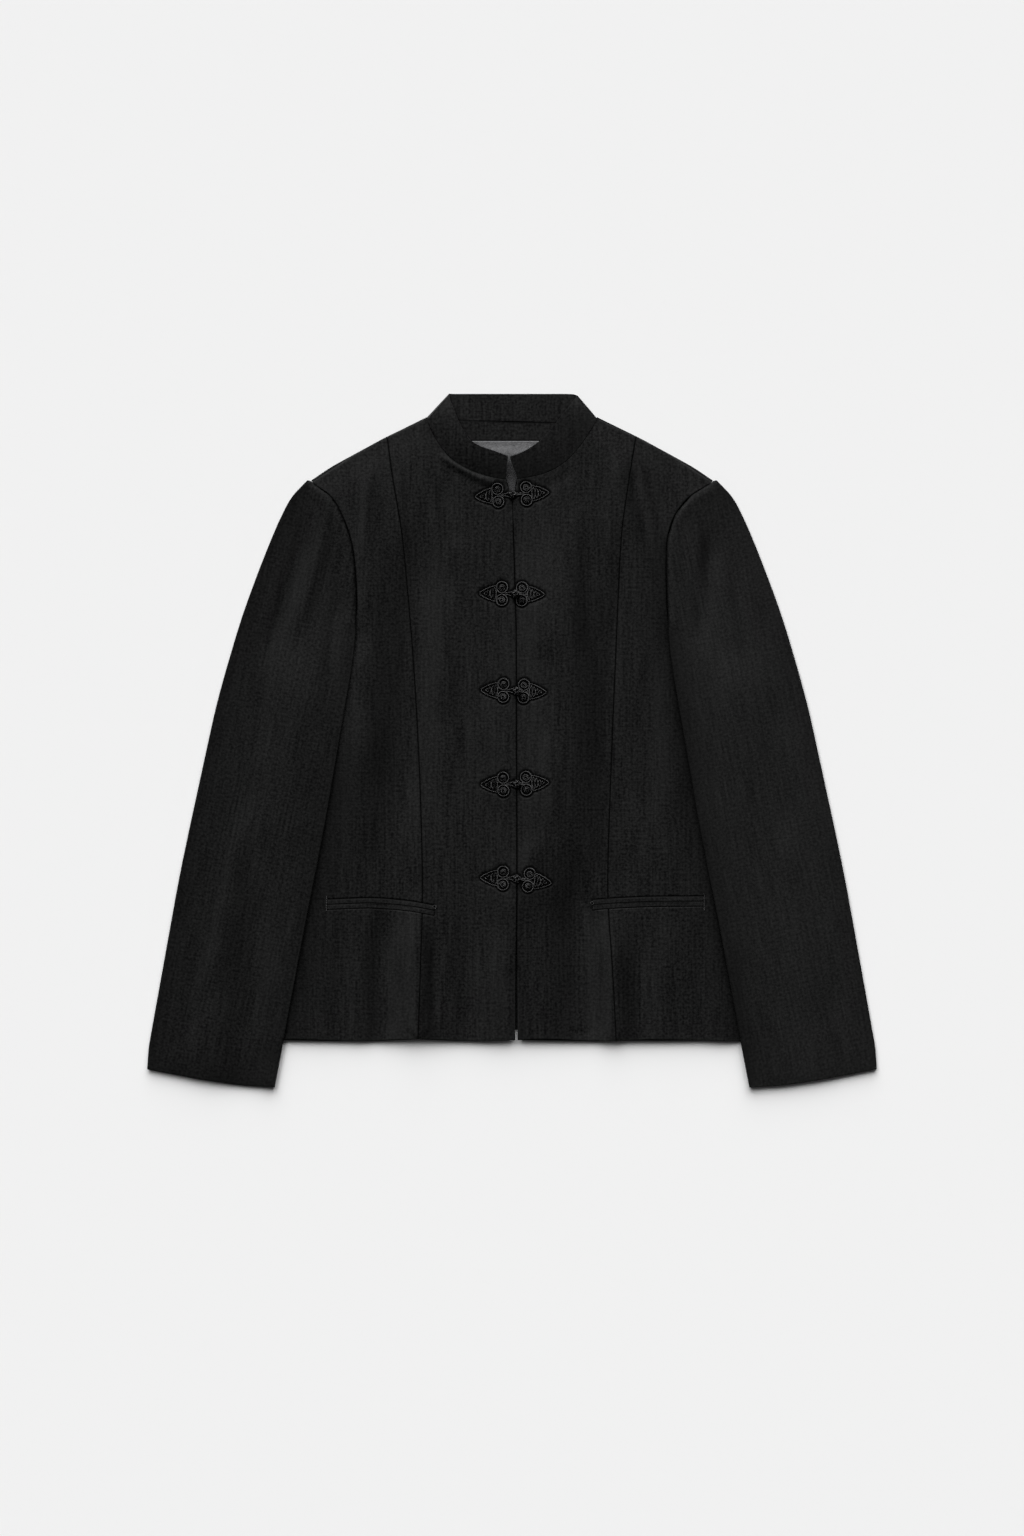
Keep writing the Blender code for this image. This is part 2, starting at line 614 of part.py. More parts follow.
def cord(points, radius, home, closed=False):
    """A cord of round section through the points."""
    curve = bpy.data.curves.new("cord", "CURVE")
    curve.dimensions = "3D"
    curve.bevel_depth = radius
    curve.bevel_resolution = 1
    curve.use_fill_caps = True
    spline = curve.splines.new("POLY")
    spline.points.add(len(points) - 1)
    for point, place in zip(spline.points, points):
        point.co = (*place, 1.0)
    spline.use_cyclic_u = closed
    obj = bpy.data.objects.new("cord", curve)
    home.objects.link(obj)
    mesh = mesh_from(obj)
    weld(mesh)
    return mesh


def weld(mesh):
    form = bmesh.new()
    form.from_mesh(mesh)
    bmesh.ops.remove_doubles(form, verts=form.verts, dist=0.000005)
    bmesh.ops.recalc_face_normals(form, faces=form.faces)
    form.to_mesh(mesh)
    form.free()


def united(name, meshes, home):
    """One closed mesh from several that overlap."""
    first = bpy.data.objects.new(name, meshes[0])
    home.objects.link(first)
    others = []
    for mesh in meshes[1:]:
        other = bpy.data.objects.new(name + "_with", mesh)
        home.objects.link(other)
        others.append(other)
        union = first.modifiers.new("Join", "BOOLEAN")
        union.operation = "UNION"
        union.solver = "EXACT"
        union.object = other
    mesh = mesh_from(first)
    for other in others:
        bpy.data.objects.remove(other)
    return mesh


def coil_meshes(home):
    """Two cords coiled into discs, whose turns show as a raised middle and a raised ring."""
    coils = []
    for up in (COIL_UP, -COIL_UP):
        coil = turned([(share * COIL_RADIUS, z) for share, z in COIL_PROFILE], COIL_SIDES, home)
        coil.transform(Matrix.Translation((COIL_OUT, up, 0.0)))
        coils.append(coil)
    return coils


def leaf_meshes(home):
    """The knotted leaf past the coils: a pointed ring of cord with two strands laced across it."""
    upper = [(LEAF_START + past, half) for past, half in LEAF_PROFILE]
    outline = upper + [(LEAF_END, 0.0)] + [(x, -y) for x, y in reversed(upper)]
    meshes = [cord([(x, y, CORD) for x, y in outline], CORD * 0.95, home, closed=True)]
    for side in (1, -1):
        ends = [(LEAF_START + past, up * side, CORD * 1.25) for past, up in STRAND_ENDS]
        meshes.append(cord(ends, CORD * 0.9, home))
    return meshes


def stem_mesh(start, home):
    return cord([(start, 0.0, CORD * 1.05), (STEM_END, 0.0, CORD * 1.05)], CORD * 1.1, home)


def loop_half_mesh(home):
    """The half that carries the loop. Outwards is +X here."""
    eye = [(LOOP_NECK_END, LOOP_NECK_HALF, CORD), (LOOP_NECK_START, LOOP_NECK_HALF, CORD)]
    for k in range(EYE_SIDES + 1):
        angle = math.radians(EYE_OPENING + k * (360 - 2 * EYE_OPENING) / EYE_SIDES)
        eye.append((EYE_RADIUS * math.cos(angle), EYE_RADIUS * math.sin(angle), CORD))
    eye += [(x, -y, z) for x, y, z in reversed(eye[:2])]
    parts = [stem_mesh(COIL_OUT * 0.7, home), *coil_meshes(home), *leaf_meshes(home)]
    return united("frog_loop_half", [*parts, cord(eye, CORD * 0.85, home)], home)


def knot_half_mesh(home):
    """The half that carries the knot button. Outwards is +X here."""
    start = EYE_RADIUS + CORD * 0.85 + GAP
    return united("frog_knot_half", [stem_mesh(start, home), *coil_meshes(home), *leaf_meshes(home)], home)


def knot_button_mesh(home):
    """A ball knot on a short stem that stands in the loop's eye."""
    middle, half = (BUTTON_LOW + BUTTON_HIGH) / 2, (BUTTON_HIGH - BUTTON_LOW) / 2
    profile = [(0.0, BUTTON_HIGH)]
    for k in range(1, BUTTON_RINGS):
        angle = math.pi * k / BUTTON_RINGS
        profile.append((BUTTON_RADIUS * math.sin(angle), middle + half * math.cos(angle)))
    profile += [(BUTTON_STEM, BUTTON_LOW + GAP), (BUTTON_STEM, 0.0), (0.0, 0.0)]
    return turned(profile, BUTTON_SIDES, home)


def make_frogs(fronts, finish, helpers, home):
    halves = {RIGHT: loop_half_mesh(helpers), LEFT: knot_half_mesh(helpers)}
    labels = {RIGHT: "loop", LEFT: "knot"}
    knot = knot_button_mesh(helpers)
    for mesh in (*halves.values(), knot):
        mesh.materials.clear()
        mesh.materials.append(finish)
        mesh.shade_smooth()
        mesh.set_sharp_from_angle(angle=math.radians(60))
    tree = surface_of(fronts)
    footprint = [(LEAF_END * k / 8, COIL_UP * up) for k in range(1, 9) for up in (-1.5, -0.7, 0.0, 0.7, 1.5)]
    for number, (y, right_turn, left_turn) in enumerate(FROGS, start=1):
        x = front_line_x(y)
        under = []
        for side, turn in ((RIGHT, right_turn), (LEFT, left_turn)):
            half = bpy.data.objects.new(f"frog_{number}_{labels[side]}_half", halves[side])
            home.objects.link(half)
            under.append(height_over(tree, x, y, [(side * dx, dy) for dx, dy in footprint]))
            half.location = (x, y, under[-1] + GAP)
            half.rotation_euler.z = (math.pi if side == RIGHT else 0.0) + math.radians(turn)
        button = bpy.data.objects.new(f"frog_{number}_knot_button", knot)
        home.objects.link(button)
        button.location = (x, y, max(under) + GAP)


def front_line_x(y):
    """x of the line where the two fronts meet."""
    for (y1, a1, b1), (y2, a2, b2) in zip(FRONT_EDGES, FRONT_EDGES[1:]):
        if y2 <= y <= y1:
            t = (y1 - y) / (y1 - y2)
            return (a1 + b1) / 2 * (1 - t) + (a2 + b2) / 2 * t
    return 0.0


def main():
    clear_scene()
    home = collection_named("mandarin_collar_jacket")
    helpers = collection_named("helpers", shown=False)
    cloth = material("black_cloth", CLOTH_BLACK, 0.85)
    cord_black = material("black_cord", CORD_BLACK, 0.55)
    lining = material("grey_lining", LINING_GREY, 0.45)

    back = make_back(cloth, home)
    fronts = []
    for name, side in SIDES.items():
        fronts.append(make_front_centre(f"front_centre_{name}", side, cloth, home))
        fronts.append(make_front_side(f"front_side_{name}", side, cloth, home))
    for name, side in SIDES.items():
        under, heights = make_under_sleeve(f"sleeve_under_{name}", side, [back, *fronts], cloth, home)
        make_top_sleeve(f"sleeve_top_{name}", side, [back, under], heights, cloth, home)
        make_pocket(name, side, fronts, cloth, home)
    make_collar(cloth, home)
    make_neck_inside(cloth, lining, home)
    make_frogs(fronts, cord_black, helpers, home)


main()
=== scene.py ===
import math
from itertools import accumulate

import bmesh
import bpy
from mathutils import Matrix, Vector, noise
from mathutils.bvhtree import BVHTree
from mathutils.geometry import delaunay_2d_cdt
from mathutils.kdtree import KDTree


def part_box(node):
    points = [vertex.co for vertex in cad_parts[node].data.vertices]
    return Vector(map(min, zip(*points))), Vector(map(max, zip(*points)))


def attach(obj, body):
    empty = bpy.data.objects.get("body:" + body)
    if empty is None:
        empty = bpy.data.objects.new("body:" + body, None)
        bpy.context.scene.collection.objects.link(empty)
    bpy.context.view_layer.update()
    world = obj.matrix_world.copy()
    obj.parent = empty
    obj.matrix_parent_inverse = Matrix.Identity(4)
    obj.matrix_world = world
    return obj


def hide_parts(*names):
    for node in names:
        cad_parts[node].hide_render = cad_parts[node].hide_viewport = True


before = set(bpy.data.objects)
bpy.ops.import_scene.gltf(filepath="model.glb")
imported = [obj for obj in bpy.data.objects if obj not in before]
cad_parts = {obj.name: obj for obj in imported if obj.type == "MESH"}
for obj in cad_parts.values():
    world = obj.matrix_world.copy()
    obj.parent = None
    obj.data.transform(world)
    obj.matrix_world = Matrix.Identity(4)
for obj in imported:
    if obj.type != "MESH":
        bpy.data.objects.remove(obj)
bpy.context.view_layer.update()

# The looks of a black mandarin collar jacket that lies flat on its back.
# +X is the wearer's left, +Y runs up to the collar and +Z points at the camera. Metres throughout.
print("frame loaded:", len(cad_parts), "nodes")


# Shared small tools

def ease(share):
    share = min(1.0, max(0.0, share))
    return share * share * (3 - 2 * share)


def rounded(share):
    # the height of a quarter circle, from 0 at its edge to 1
    return math.sqrt(max(0.0, 1 - (1 - min(1.0, share)) ** 2))


def mixed(a, b, share):
    return [p + (q - p) * share for p, q in zip(a, b)]


def smoothLine(points, spacing):
    # a smooth curve through the points, as points an even distance apart
    ends = [mixed(points[0], points[1], -1.0), *points, mixed(points[-1], points[-2], -1.0)]
    fine = []
    for a, b, c, d in zip(ends, ends[1:], ends[2:], ends[3:]):
        for i in range(8):
            t = i / 8
            fine.append([
                q + 0.5 * t * ((r - p) + t * (2 * p - 5 * q + 4 * r - s + t * (3 * q - p - 3 * r + s)))
                for p, q, r, s in zip(a, b, c, d)
            ])
    fine.append(list(points[-1]))
    lengths = list(accumulate((math.dist(a, b) for a, b in zip(fine, fine[1:])), initial=0.0))
    count = max(2, round(lengths[-1] / spacing))
    made, at = [], 0
    for i in range(count + 1):
        want = lengths[-1] * i / count
        while at < len(fine) - 2 and lengths[at + 1] < want:
            at += 1
        made.append(mixed(fine[at], fine[at + 1], (want - lengths[at]) / (lengths[at + 1] - lengths[at])))
    return made


def nearTree(points):
    # finds the nearest of many flat points
    tree = KDTree(len(points))
    for i, (x, y) in enumerate(points):
        tree.insert((x, y, 0.0), i)
    tree.balance()
    return tree


def linked(name, data):
    obj = bpy.data.objects.new(name, data)
    bpy.context.scene.collection.objects.link(obj)
    return obj


def evaluatedMesh(obj):
    graph = bpy.context.evaluated_depsgraph_get()
    mesh = bpy.data.meshes.new_from_object(obj.evaluated_get(graph))
    mesh.name = obj.name
    return mesh


def addShares(mesh, name, values):
    shares = mesh.attributes.new(name, "FLOAT", "POINT")
    shares.data.foreach_set("value", values)


def declare(piece, replaced=None):
    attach(piece, "root")
    if replaced:
        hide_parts(replaced)


# Node graphs, for materials and for geometry

class Signal:
    # one socket, which Python's own operators turn into Math nodes

    def __init__(self, graph, socket):
        self.graph = graph
        self.socket = socket

    def maths(self, operation, *terms):
        return self.graph.node("ShaderNodeMath", {"operation": operation}, dict(enumerate(terms)))

    def __add__(self, other):
        return self.maths("ADD", self, other)

    def __radd__(self, other):
        return self.maths("ADD", other, self)

    def __sub__(self, other):
        return self.maths("SUBTRACT", self, other)

    def __rsub__(self, other):
        return self.maths("SUBTRACT", other, self)

    def __mul__(self, other):
        return self.maths("MULTIPLY", self, other)

    def __rmul__(self, other):
        return self.maths("MULTIPLY", other, self)


class Graph:
    # one node tree, and the one method that adds a node to it

    def __init__(self, tree):
        self.tree = tree

    def node(self, kind, settings=None, sockets=None, output=0):
        made = self.tree.nodes.new(kind)
        for name, value in (settings or {}).items():
            setattr(made, name, value)
        for key, value in (sockets or {}).items():
            self.feed(made.inputs[key], value)
        return Signal(self, made.outputs[output])

    def feed(self, socket, value):
        if isinstance(value, Signal):
            self.tree.links.new(value.socket, socket)
        else:
            socket.default_value = value

    def mix(self, share, low, high):
        return self.node("ShaderNodeMix", {"data_type": "RGBA"}, {0: share, 6: low, 7: high}, 2)

    def sine(self, angle):
        return self.node("ShaderNodeMath", {"operation": "SINE"}, {0: angle})

    def noise(self, place, scale, detail=2.0, roughness=0.5):
        sockets = {"Vector": place, "Scale": scale, "Detail": detail, "Roughness": roughness}
        return self.node("ShaderNodeTexNoise", None, sockets)

    def share(self, name):
        return self.node("ShaderNodeAttribute", {"attribute_name": name}, None, 2)

    def grainMap(self):
        # the cloth's own flat map, and the places across and along its grain
        place = self.node("ShaderNodeUVMap", {"uv_map": "weave"})
        return [place] + [self.node("ShaderNodeSeparateXYZ", None, {0: place}, axis) for axis in (0, 1)]


class Finish(Graph):
    # a material, whose shader's own sockets are set by name

    def __init__(self, name, **sockets):
        self.material = bpy.data.materials.new(name)
        self.material.use_nodes = True
        super().__init__(self.material.node_tree)
        self.shader = self.tree.nodes["Principled BSDF"]
        for key, value in sockets.items():
            self.put(key.replace("_", " "), value)

    def put(self, name, value):
        self.feed(self.shader.inputs[name], value)

    def relief(self, height, distance, strength=1.0):
        sockets = {"Height": height, "Distance": distance, "Strength": strength}
        self.put("Normal", self.node("ShaderNodeBump", None, sockets))


# Materials

weave = {
    "thread": 0.00052,  # from one warp thread to the next
    "slub": (430.0, 22.0),  # per metre across and along the grain
    "band": (150.0, 7.0),
    "pick": (60.0, 700.0),
    "speck": 390.0,
    "cloudy": 16.0,
    "dark": (0.0004, 0.0004, 0.0005, 1.0),
    "light": (0.0152, 0.0154, 0.0152, 1.0),
    # painted shade: the darkest colour, mixed in by the crease share
    "crease": (0.0002, 0.0002, 0.0002, 1.0),
    "edgesAndPaintedLight": (0.0210, 0.0212, 0.0210, 1.0),  # lighter along free edges, and painted highlight on flanks facing the light, on one sleeve and on the collar
    "relief": 0.00008,
}


def blackCloth():
    look = Finish("blackSuitingCloth", Roughness=0.50, Specular_IOR_Level=0.075)
    place, across, along = look.grainMap()
    turn = math.tau / weave["thread"]
    threads = look.sine(across * turn) * 0.3 + look.sine((across + along) * turn) * 0.3

    def streaks(name, detail):
        wide, long = weave[name]
        stretched = look.node("ShaderNodeCombineXYZ", None, {0: across * wide, 1: along * long})
        return look.noise(stretched, 1.0, detail)

    slub, band, pick = streaks("slub", 2.0), streaks("band", 3.0), streaks("pick", 1.0)
    speck = look.noise(place, weave["speck"])
    clouds = look.noise(place, weave["cloudy"], 3.0)
    # the crease share: dark seam lines, and painted shade in dips, beside the sleeves and on fold flanks
    crease = look.share("crease")
    tone = slub + band * 0.35 + pick * 0.5 + speck * 2.0 + clouds * 0.3 + threads * 0.06 - 1.68
    colour = look.mix(tone, weave["dark"], weave["light"])
    # the edge share: lighter along free edges, and painted highlight on lit flanks, one sleeve and the collar
    colour = look.mix(look.share("edge") * 0.6, colour, weave["edgesAndPaintedLight"])
    look.put("Base Color", look.mix(crease * 0.9, colour, weave["crease"]))
    look.put("Roughness", 0.42 + slub * 0.16 + crease * 0.45)
    look.relief(threads * 0.5 + slub + speck, weave["relief"], 0.6)
    return look.material


satin = {
    "dark": (0.0006, 0.0006, 0.0007, 1.0),
    "light": (0.0046, 0.0046, 0.0049, 1.0),
    "strand": 0.00090,  # from one strand of the cord to the next, along it
    "fuzz": 1800.0,
    "relief": 0.00010,
}


def satinCord():
    look = Finish("blackSatinCord", Roughness=0.30, Specular_IOR_Level=0.50)
    angle = look.share("along") * (math.tau / satin["strand"]) + look.share("around") * (2 * math.tau)
    strands = look.sine(angle)
    fuzz = look.noise(look.node("ShaderNodeTexCoord", None, None, 3), satin["fuzz"])
    tone = strands * 0.30 + fuzz * 0.6 + 0.05
    look.put("Base Color", look.mix(tone, satin["dark"], satin["light"]))
    look.put("Roughness", 0.20 + fuzz * 0.16)
    look.relief(strands + fuzz * 0.6, satin["relief"], 0.8)
    return look.material


greyLining = {
    "dark": (0.060, 0.060, 0.062, 1.0),
    "light": (0.215, 0.215, 0.222, 1.0),
    "inside": (0.018, 0.018, 0.019, 1.0),  # painted shade down in the slit
    "blotch": 230.0,
    "thread": 0.00030,
    "relief": 0.00008,
}


def liningCloth():
    look = Finish("greyLiningCloth", Roughness=0.5, Specular_IOR_Level=0.3, Sheen_Weight=0.05)
    place, across, along = look.grainMap()
    turn = math.tau / greyLining["thread"]
    threads = look.sine(across * turn) * look.sine(along * turn)
    blotch = look.noise(place, greyLining["blotch"], 4.0, 0.65)
    # the shade share: painted shade in the slit, darker lower down
    shade = look.share("shade")
    tone = (blotch * 1.6 - 0.30 + threads * 0.05) * (1 - shade * 0.75)
    colour = look.mix(tone, greyLining["dark"], greyLining["light"])
    look.put("Base Color", look.mix(shade, colour, greyLining["inside"]))
    look.put("Roughness", 0.40 + blotch * 0.25)
    look.relief(threads + blotch * 2.0, greyLining["relief"], 0.6)
    return look.material


clothBlack = blackCloth()
cordBlack = satinCord()
liningGrey = liningCloth()
print("materials made")


# Frogs: where each cord runs. One long satin cord makes each half, coiled, laced and knotted.

frog = {
    "cord": 0.00070,  # the cord's radius
    "fine": 0.00052,  # the leaf is knotted tighter
    "coilOut": 0.0118,
    "coilUp": 0.0064,
    "coilRadius": 0.0062,
    "coilInner": 0.0034,
    "coilHeart": 0.0007,
    "cushion": 0.0004,
    "leafStart": 0.0150,
    "leafEnd": 0.0340,
    "leafHalf": 0.0080,
    "laceWaves": 2.25,
    "eye": 0.0031,
    "ball": 0.0033,
    "ballHeight": 0.0024,
    "ballMiddle": 0.0054,
    "ballCord": 0.00088,
    "sides": 8,
    "spacing": 0.00055,
}


def coilPath(up):
    # one turn inside the next, with a groove before the last turn round them
    step = 2 * frog["cord"] * 0.97
    outer = frog["coilInner"]
    turns = (outer - frog["coilHeart"]) / step

    def spot(radius, angle, height):
        return (frog["coilOut"] + radius * math.cos(angle), up + radius * math.sin(angle), height)

    points = []
    count = int(turns * 14)
    for i in range(count + 1):
        t = i / count
        radius = frog["coilHeart"] + t * (outer - frog["coilHeart"])
        height = frog["cord"] * (1.0 + 1.5 * (1 - t) ** 3) + frog["cushion"] * ease((0.35 - t) * 5)
        points.append(spot(radius, t * turns * math.tau * (1 if up > 0 else -1), height))
    radius = frog["coilRadius"] - frog["cord"]
    rim = [spot(radius, i / 24 * math.tau, frog["cord"] * 1.5) for i in range(24)]
    return [(False, points), (True, rim)]


def leafPaths():
    start, end, half = frog["leafStart"], frog["leafEnd"], frog["leafHalf"]
    long = end - start
    fine = frog["fine"]
    # the pointed rim
    upper = []
    for t in (0.0, 0.12, 0.30, 0.48, 0.66, 0.82, 0.94):
        upper.append((start + 0.0008 + t * long, half * (1 - t ** 1.55) ** 0.85))
    line = upper + [(end, 0.0)] + [(x, -y) for x, y in reversed(upper)]
    paths = [(False, [(x, y, fine * 1.3) for x, y in line])]
    # two strands that cross over and under each other down the middle
    for sign in (1, -1):
        lace = []
        for i in range(37):
            t = i / 36
            x = start + 0.0010 + t * (long - 0.0052)
            wide = (half - 0.0011) * (1 - (0.04 + 0.92 * t) ** 1.5)
            phase = t * frog["laceWaves"] * math.tau
            y = sign * wide * math.cos(phase)
            z = fine * (1.9 + 0.9 * sign * math.sin(phase * 2 + 0.4))
            lace.append((x, y, z))
        paths.append((False, lace))
    return paths


def loopPaths():
    eye = [(0.0128, 0.00075), (0.0100, 0.00078), (0.0080, 0.00085), (0.0058, 0.0013), (0.0036, 0.0021)]
    height = frog["cord"]
    run = [(x, y, height) for x, y in eye]
    for k in range(9):
        angle = math.radians(62 + k * (236 / 8))
        run.append((frog["eye"] * math.cos(angle), frog["eye"] * math.sin(angle), height))
    run += [(x, -y, height) for x, y in reversed(eye)]
    return [(False, run)]


def stemPaths():
    # out from the coils and up into the button, with heights in cords
    stem = (
        (0.0128, 0.00075, 1.0), (0.0095, 0.00075, 1.0), (0.0066, 0.00075, 1.5),
        (0.0046, 0.00072, 2.6), (0.0026, 0.00060, 4.2), (0.0010, 0.00040, 5.6),
    )
    return [(False, [(x, sign * y, frog["cord"] * up) for x, y, up in stem]) for sign in (1, -1)]


def ballPath():
    # a button knot: three turns round, four times out and in, over and under in turn
    points = []
    for i in range(96):
        t = i / 96 * math.tau
        around = 3 * t
        polar = math.radians(90) + math.radians(62) * math.cos(4 * t)
        out = 1 + 0.16 * math.sin(8 * t)
        flat = frog["ball"] * out * math.sin(polar)
        points.append((
            flat * math.cos(around), flat * math.sin(around),
            frog["ballMiddle"] + frog["ballHeight"] * out * math.cos(polar),
        ))
    return (True, points)


def placed(paths, centre, turn, mirror=False):
    # from the frog's own plane to the jacket's, with heights still above the cloth
    cos, sin = math.cos(turn), math.sin(turn)
    made = []
    for closed, run in paths:
        run = [(x, -y if mirror else y, z) for x, y, z in run]
        made.append((closed, [
            (centre[0] + x * cos - y * sin, centre[1] + x * sin + y * cos, z) for x, y, z in run
        ]))
    return made


def tipTurn(name, centre):
    # the way that the half points, from its farthest point
    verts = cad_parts[name].data.vertices
    tip = max((vert.co for vert in verts), key=lambda co: math.dist(co[:2], centre))
    return math.atan2(tip.y - centre[1], tip.x - centre[0])


# how much farther out than usual each half is sewn, from the top frog to the lowest
frogShifts = {
    "loop": (0.0025, 0.0014, 0.0012, 0.0016, 0.0020),
    "knot": (0.0025, -0.0050, -0.0044, -0.0022, 0.0004),
}


def shifted(paths, out):
    return [(closed, [(x + out, y, z) for x, y, z in run]) for closed, run in paths]


frogGroups = {}  # the paths of each piece, each group with its cord's radius
for number in range(1, 6):
    low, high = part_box(f"frog_{number}_knot_button")
    centre = ((low.x + high.x) / 2, (low.y + high.y) / 2)
    for kind in ("loop", "knot"):
        node = f"frog_{number}_{kind}_half"
        turn = tipTurn(node, centre)
        out = frogShifts[kind][number - 1]
        coils = shifted(coilPath(frog["coilUp"]) + coilPath(-frog["coilUp"]), out)
        middle = loopPaths() if kind == "loop" else stemPaths()
        frogGroups[node] = [
            (placed(coils + middle, centre, turn), frog["cord"]),
            (placed(shifted(leafPaths(), out), centre, turn, kind == "knot"), frog["fine"]),
        ]
    frogGroups[f"frog_{number}_knot_button"] = [(placed([ballPath()], centre, 0.0), frog["ballCord"])]

frogPoints = [
    (x, y) for groups in frogGroups.values() for paths, _ in groups for _, run in paths for x, y, _ in run
]
frogTree = nearTree(frogPoints)


# Panels of cloth. Each is cut along its node's own outline and lies at its node's height, with finer folds.

narrowest = 0.0102  # the cut sizes printed for each panel are at least this wide
panel = {
    "cornerTurn": math.radians(32),  # a sharper turn of the outline stays a corner
    "step": 0.0026,  # between the points of the cloth that shows
    "hiddenStep": 0.0045,
    "rimSteps": (0.00022, 0.00055, 0.00105, 0.0018),  # rows of points in from the edge
    "wall": 0.0017,
    "innerWall": 0.0008,
    "clear": 0.00022,  # between layers
    "sewnReach": 0.0017,  # two outlines this near are sewn together
    "smoothRounds": 26,
    "bridge": 0.0012,  # a triangle whose middle is farther than this from the node isn't cloth
    "spread": 0.0030,  # how far round a point what lies under it counts
    "close": 0.00013,  # sewn edges reach this much nearer to each other
    "tuck": 0.0009,  # and the fronts this far under the collar
    "collarReach": 0.0028,
    "edgeFade": 0.025,  # folds are weaker this near to a free edge, and by this share at it
    "edgeShare": 0.65,
    "least": 0.0003,  # the cloth's two faces stay this far apart
}


def mergedForm(name):
    form = bmesh.new()
    form.from_mesh(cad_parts[name].data)
    bmesh.ops.remove_doubles(form, verts=form.verts, dist=0.000004)
    form.normal_update()
    return form


def upperFaces(form):
    # in the mesh's own order, so that each run gives the same result
    return dict.fromkeys(face for face in form.faces if face.normal.z > 0.3)


def outlineOf(form):
    # the upper side's border, anticlockwise as seen from above
    upper = upperFaces(form)
    follows = {}
    for face in upper:
        for loop in face.loops:
            others = [other for other in loop.edge.link_faces if other is not face]
            if not others or others[0] not in upper:
                follows[loop.vert] = loop.link_loop_next.vert
    longest = []
    while follows:
        at = next(iter(follows))
        run = []
        while at in follows:
            run.append(at)
            at = follows.pop(at)
        if len(run) > len(longest):
            longest = run
    return [(vert.co.x, vert.co.y) for vert in longest]


def smoothOutline(points, spacing):
    # the outline again, smooth between its corners, as evenly spaced points
    count = len(points)
    corners = []
    for i in range(count):
        before = Vector(points[i]) - Vector(points[i - 1])
        after = Vector(points[(i + 1) % count]) - Vector(points[i])
        if before.angle(after) > panel["cornerTurn"]:
            corners.append(i)
    made = []
    for start, end in zip(corners, corners[1:] + [corners[0] + count]):
        run = [points[i % count] for i in range(start, end + 1)]
        made += smoothLine(run, spacing)[:-1]
    return made


def cutOutline(name, spacing=0.0020):
    form = mergedForm(name)
    made = smoothOutline(outlineOf(form), spacing)
    form.free()
    return made


def dropped(surface, x, y):
    # where a plumb line at the place meets the surface
    return surface.ray_cast(Vector((x, y, 1.0)), Vector((0.0, 0.0, -1.0)))[0]


class Heights:
    # what lies on the table so far, and how high it is at a point

    def __init__(self):
        self.points = []
        self.faces = []
        self.tree = None

    def add(self, points, faces):
        first = len(self.points)
        self.points += points
        self.faces += [[first + i for i in face] for face in faces]
        self.tree = None

    def at(self, x, y, offsets=((0.0, 0.0),)):
        if self.tree is None and self.faces:
            self.tree = BVHTree.FromPolygons(self.points, self.faces)
        highest = 0.0
        if self.tree:
            for dx, dy in offsets:
                hit = dropped(self.tree, x + dx, y + dy)
                if hit:
                    highest = max(highest, hit.z)
        return highest


laid = Heights()
body = Heights()  # the fronts alone, which the sleeve caps are sewn to
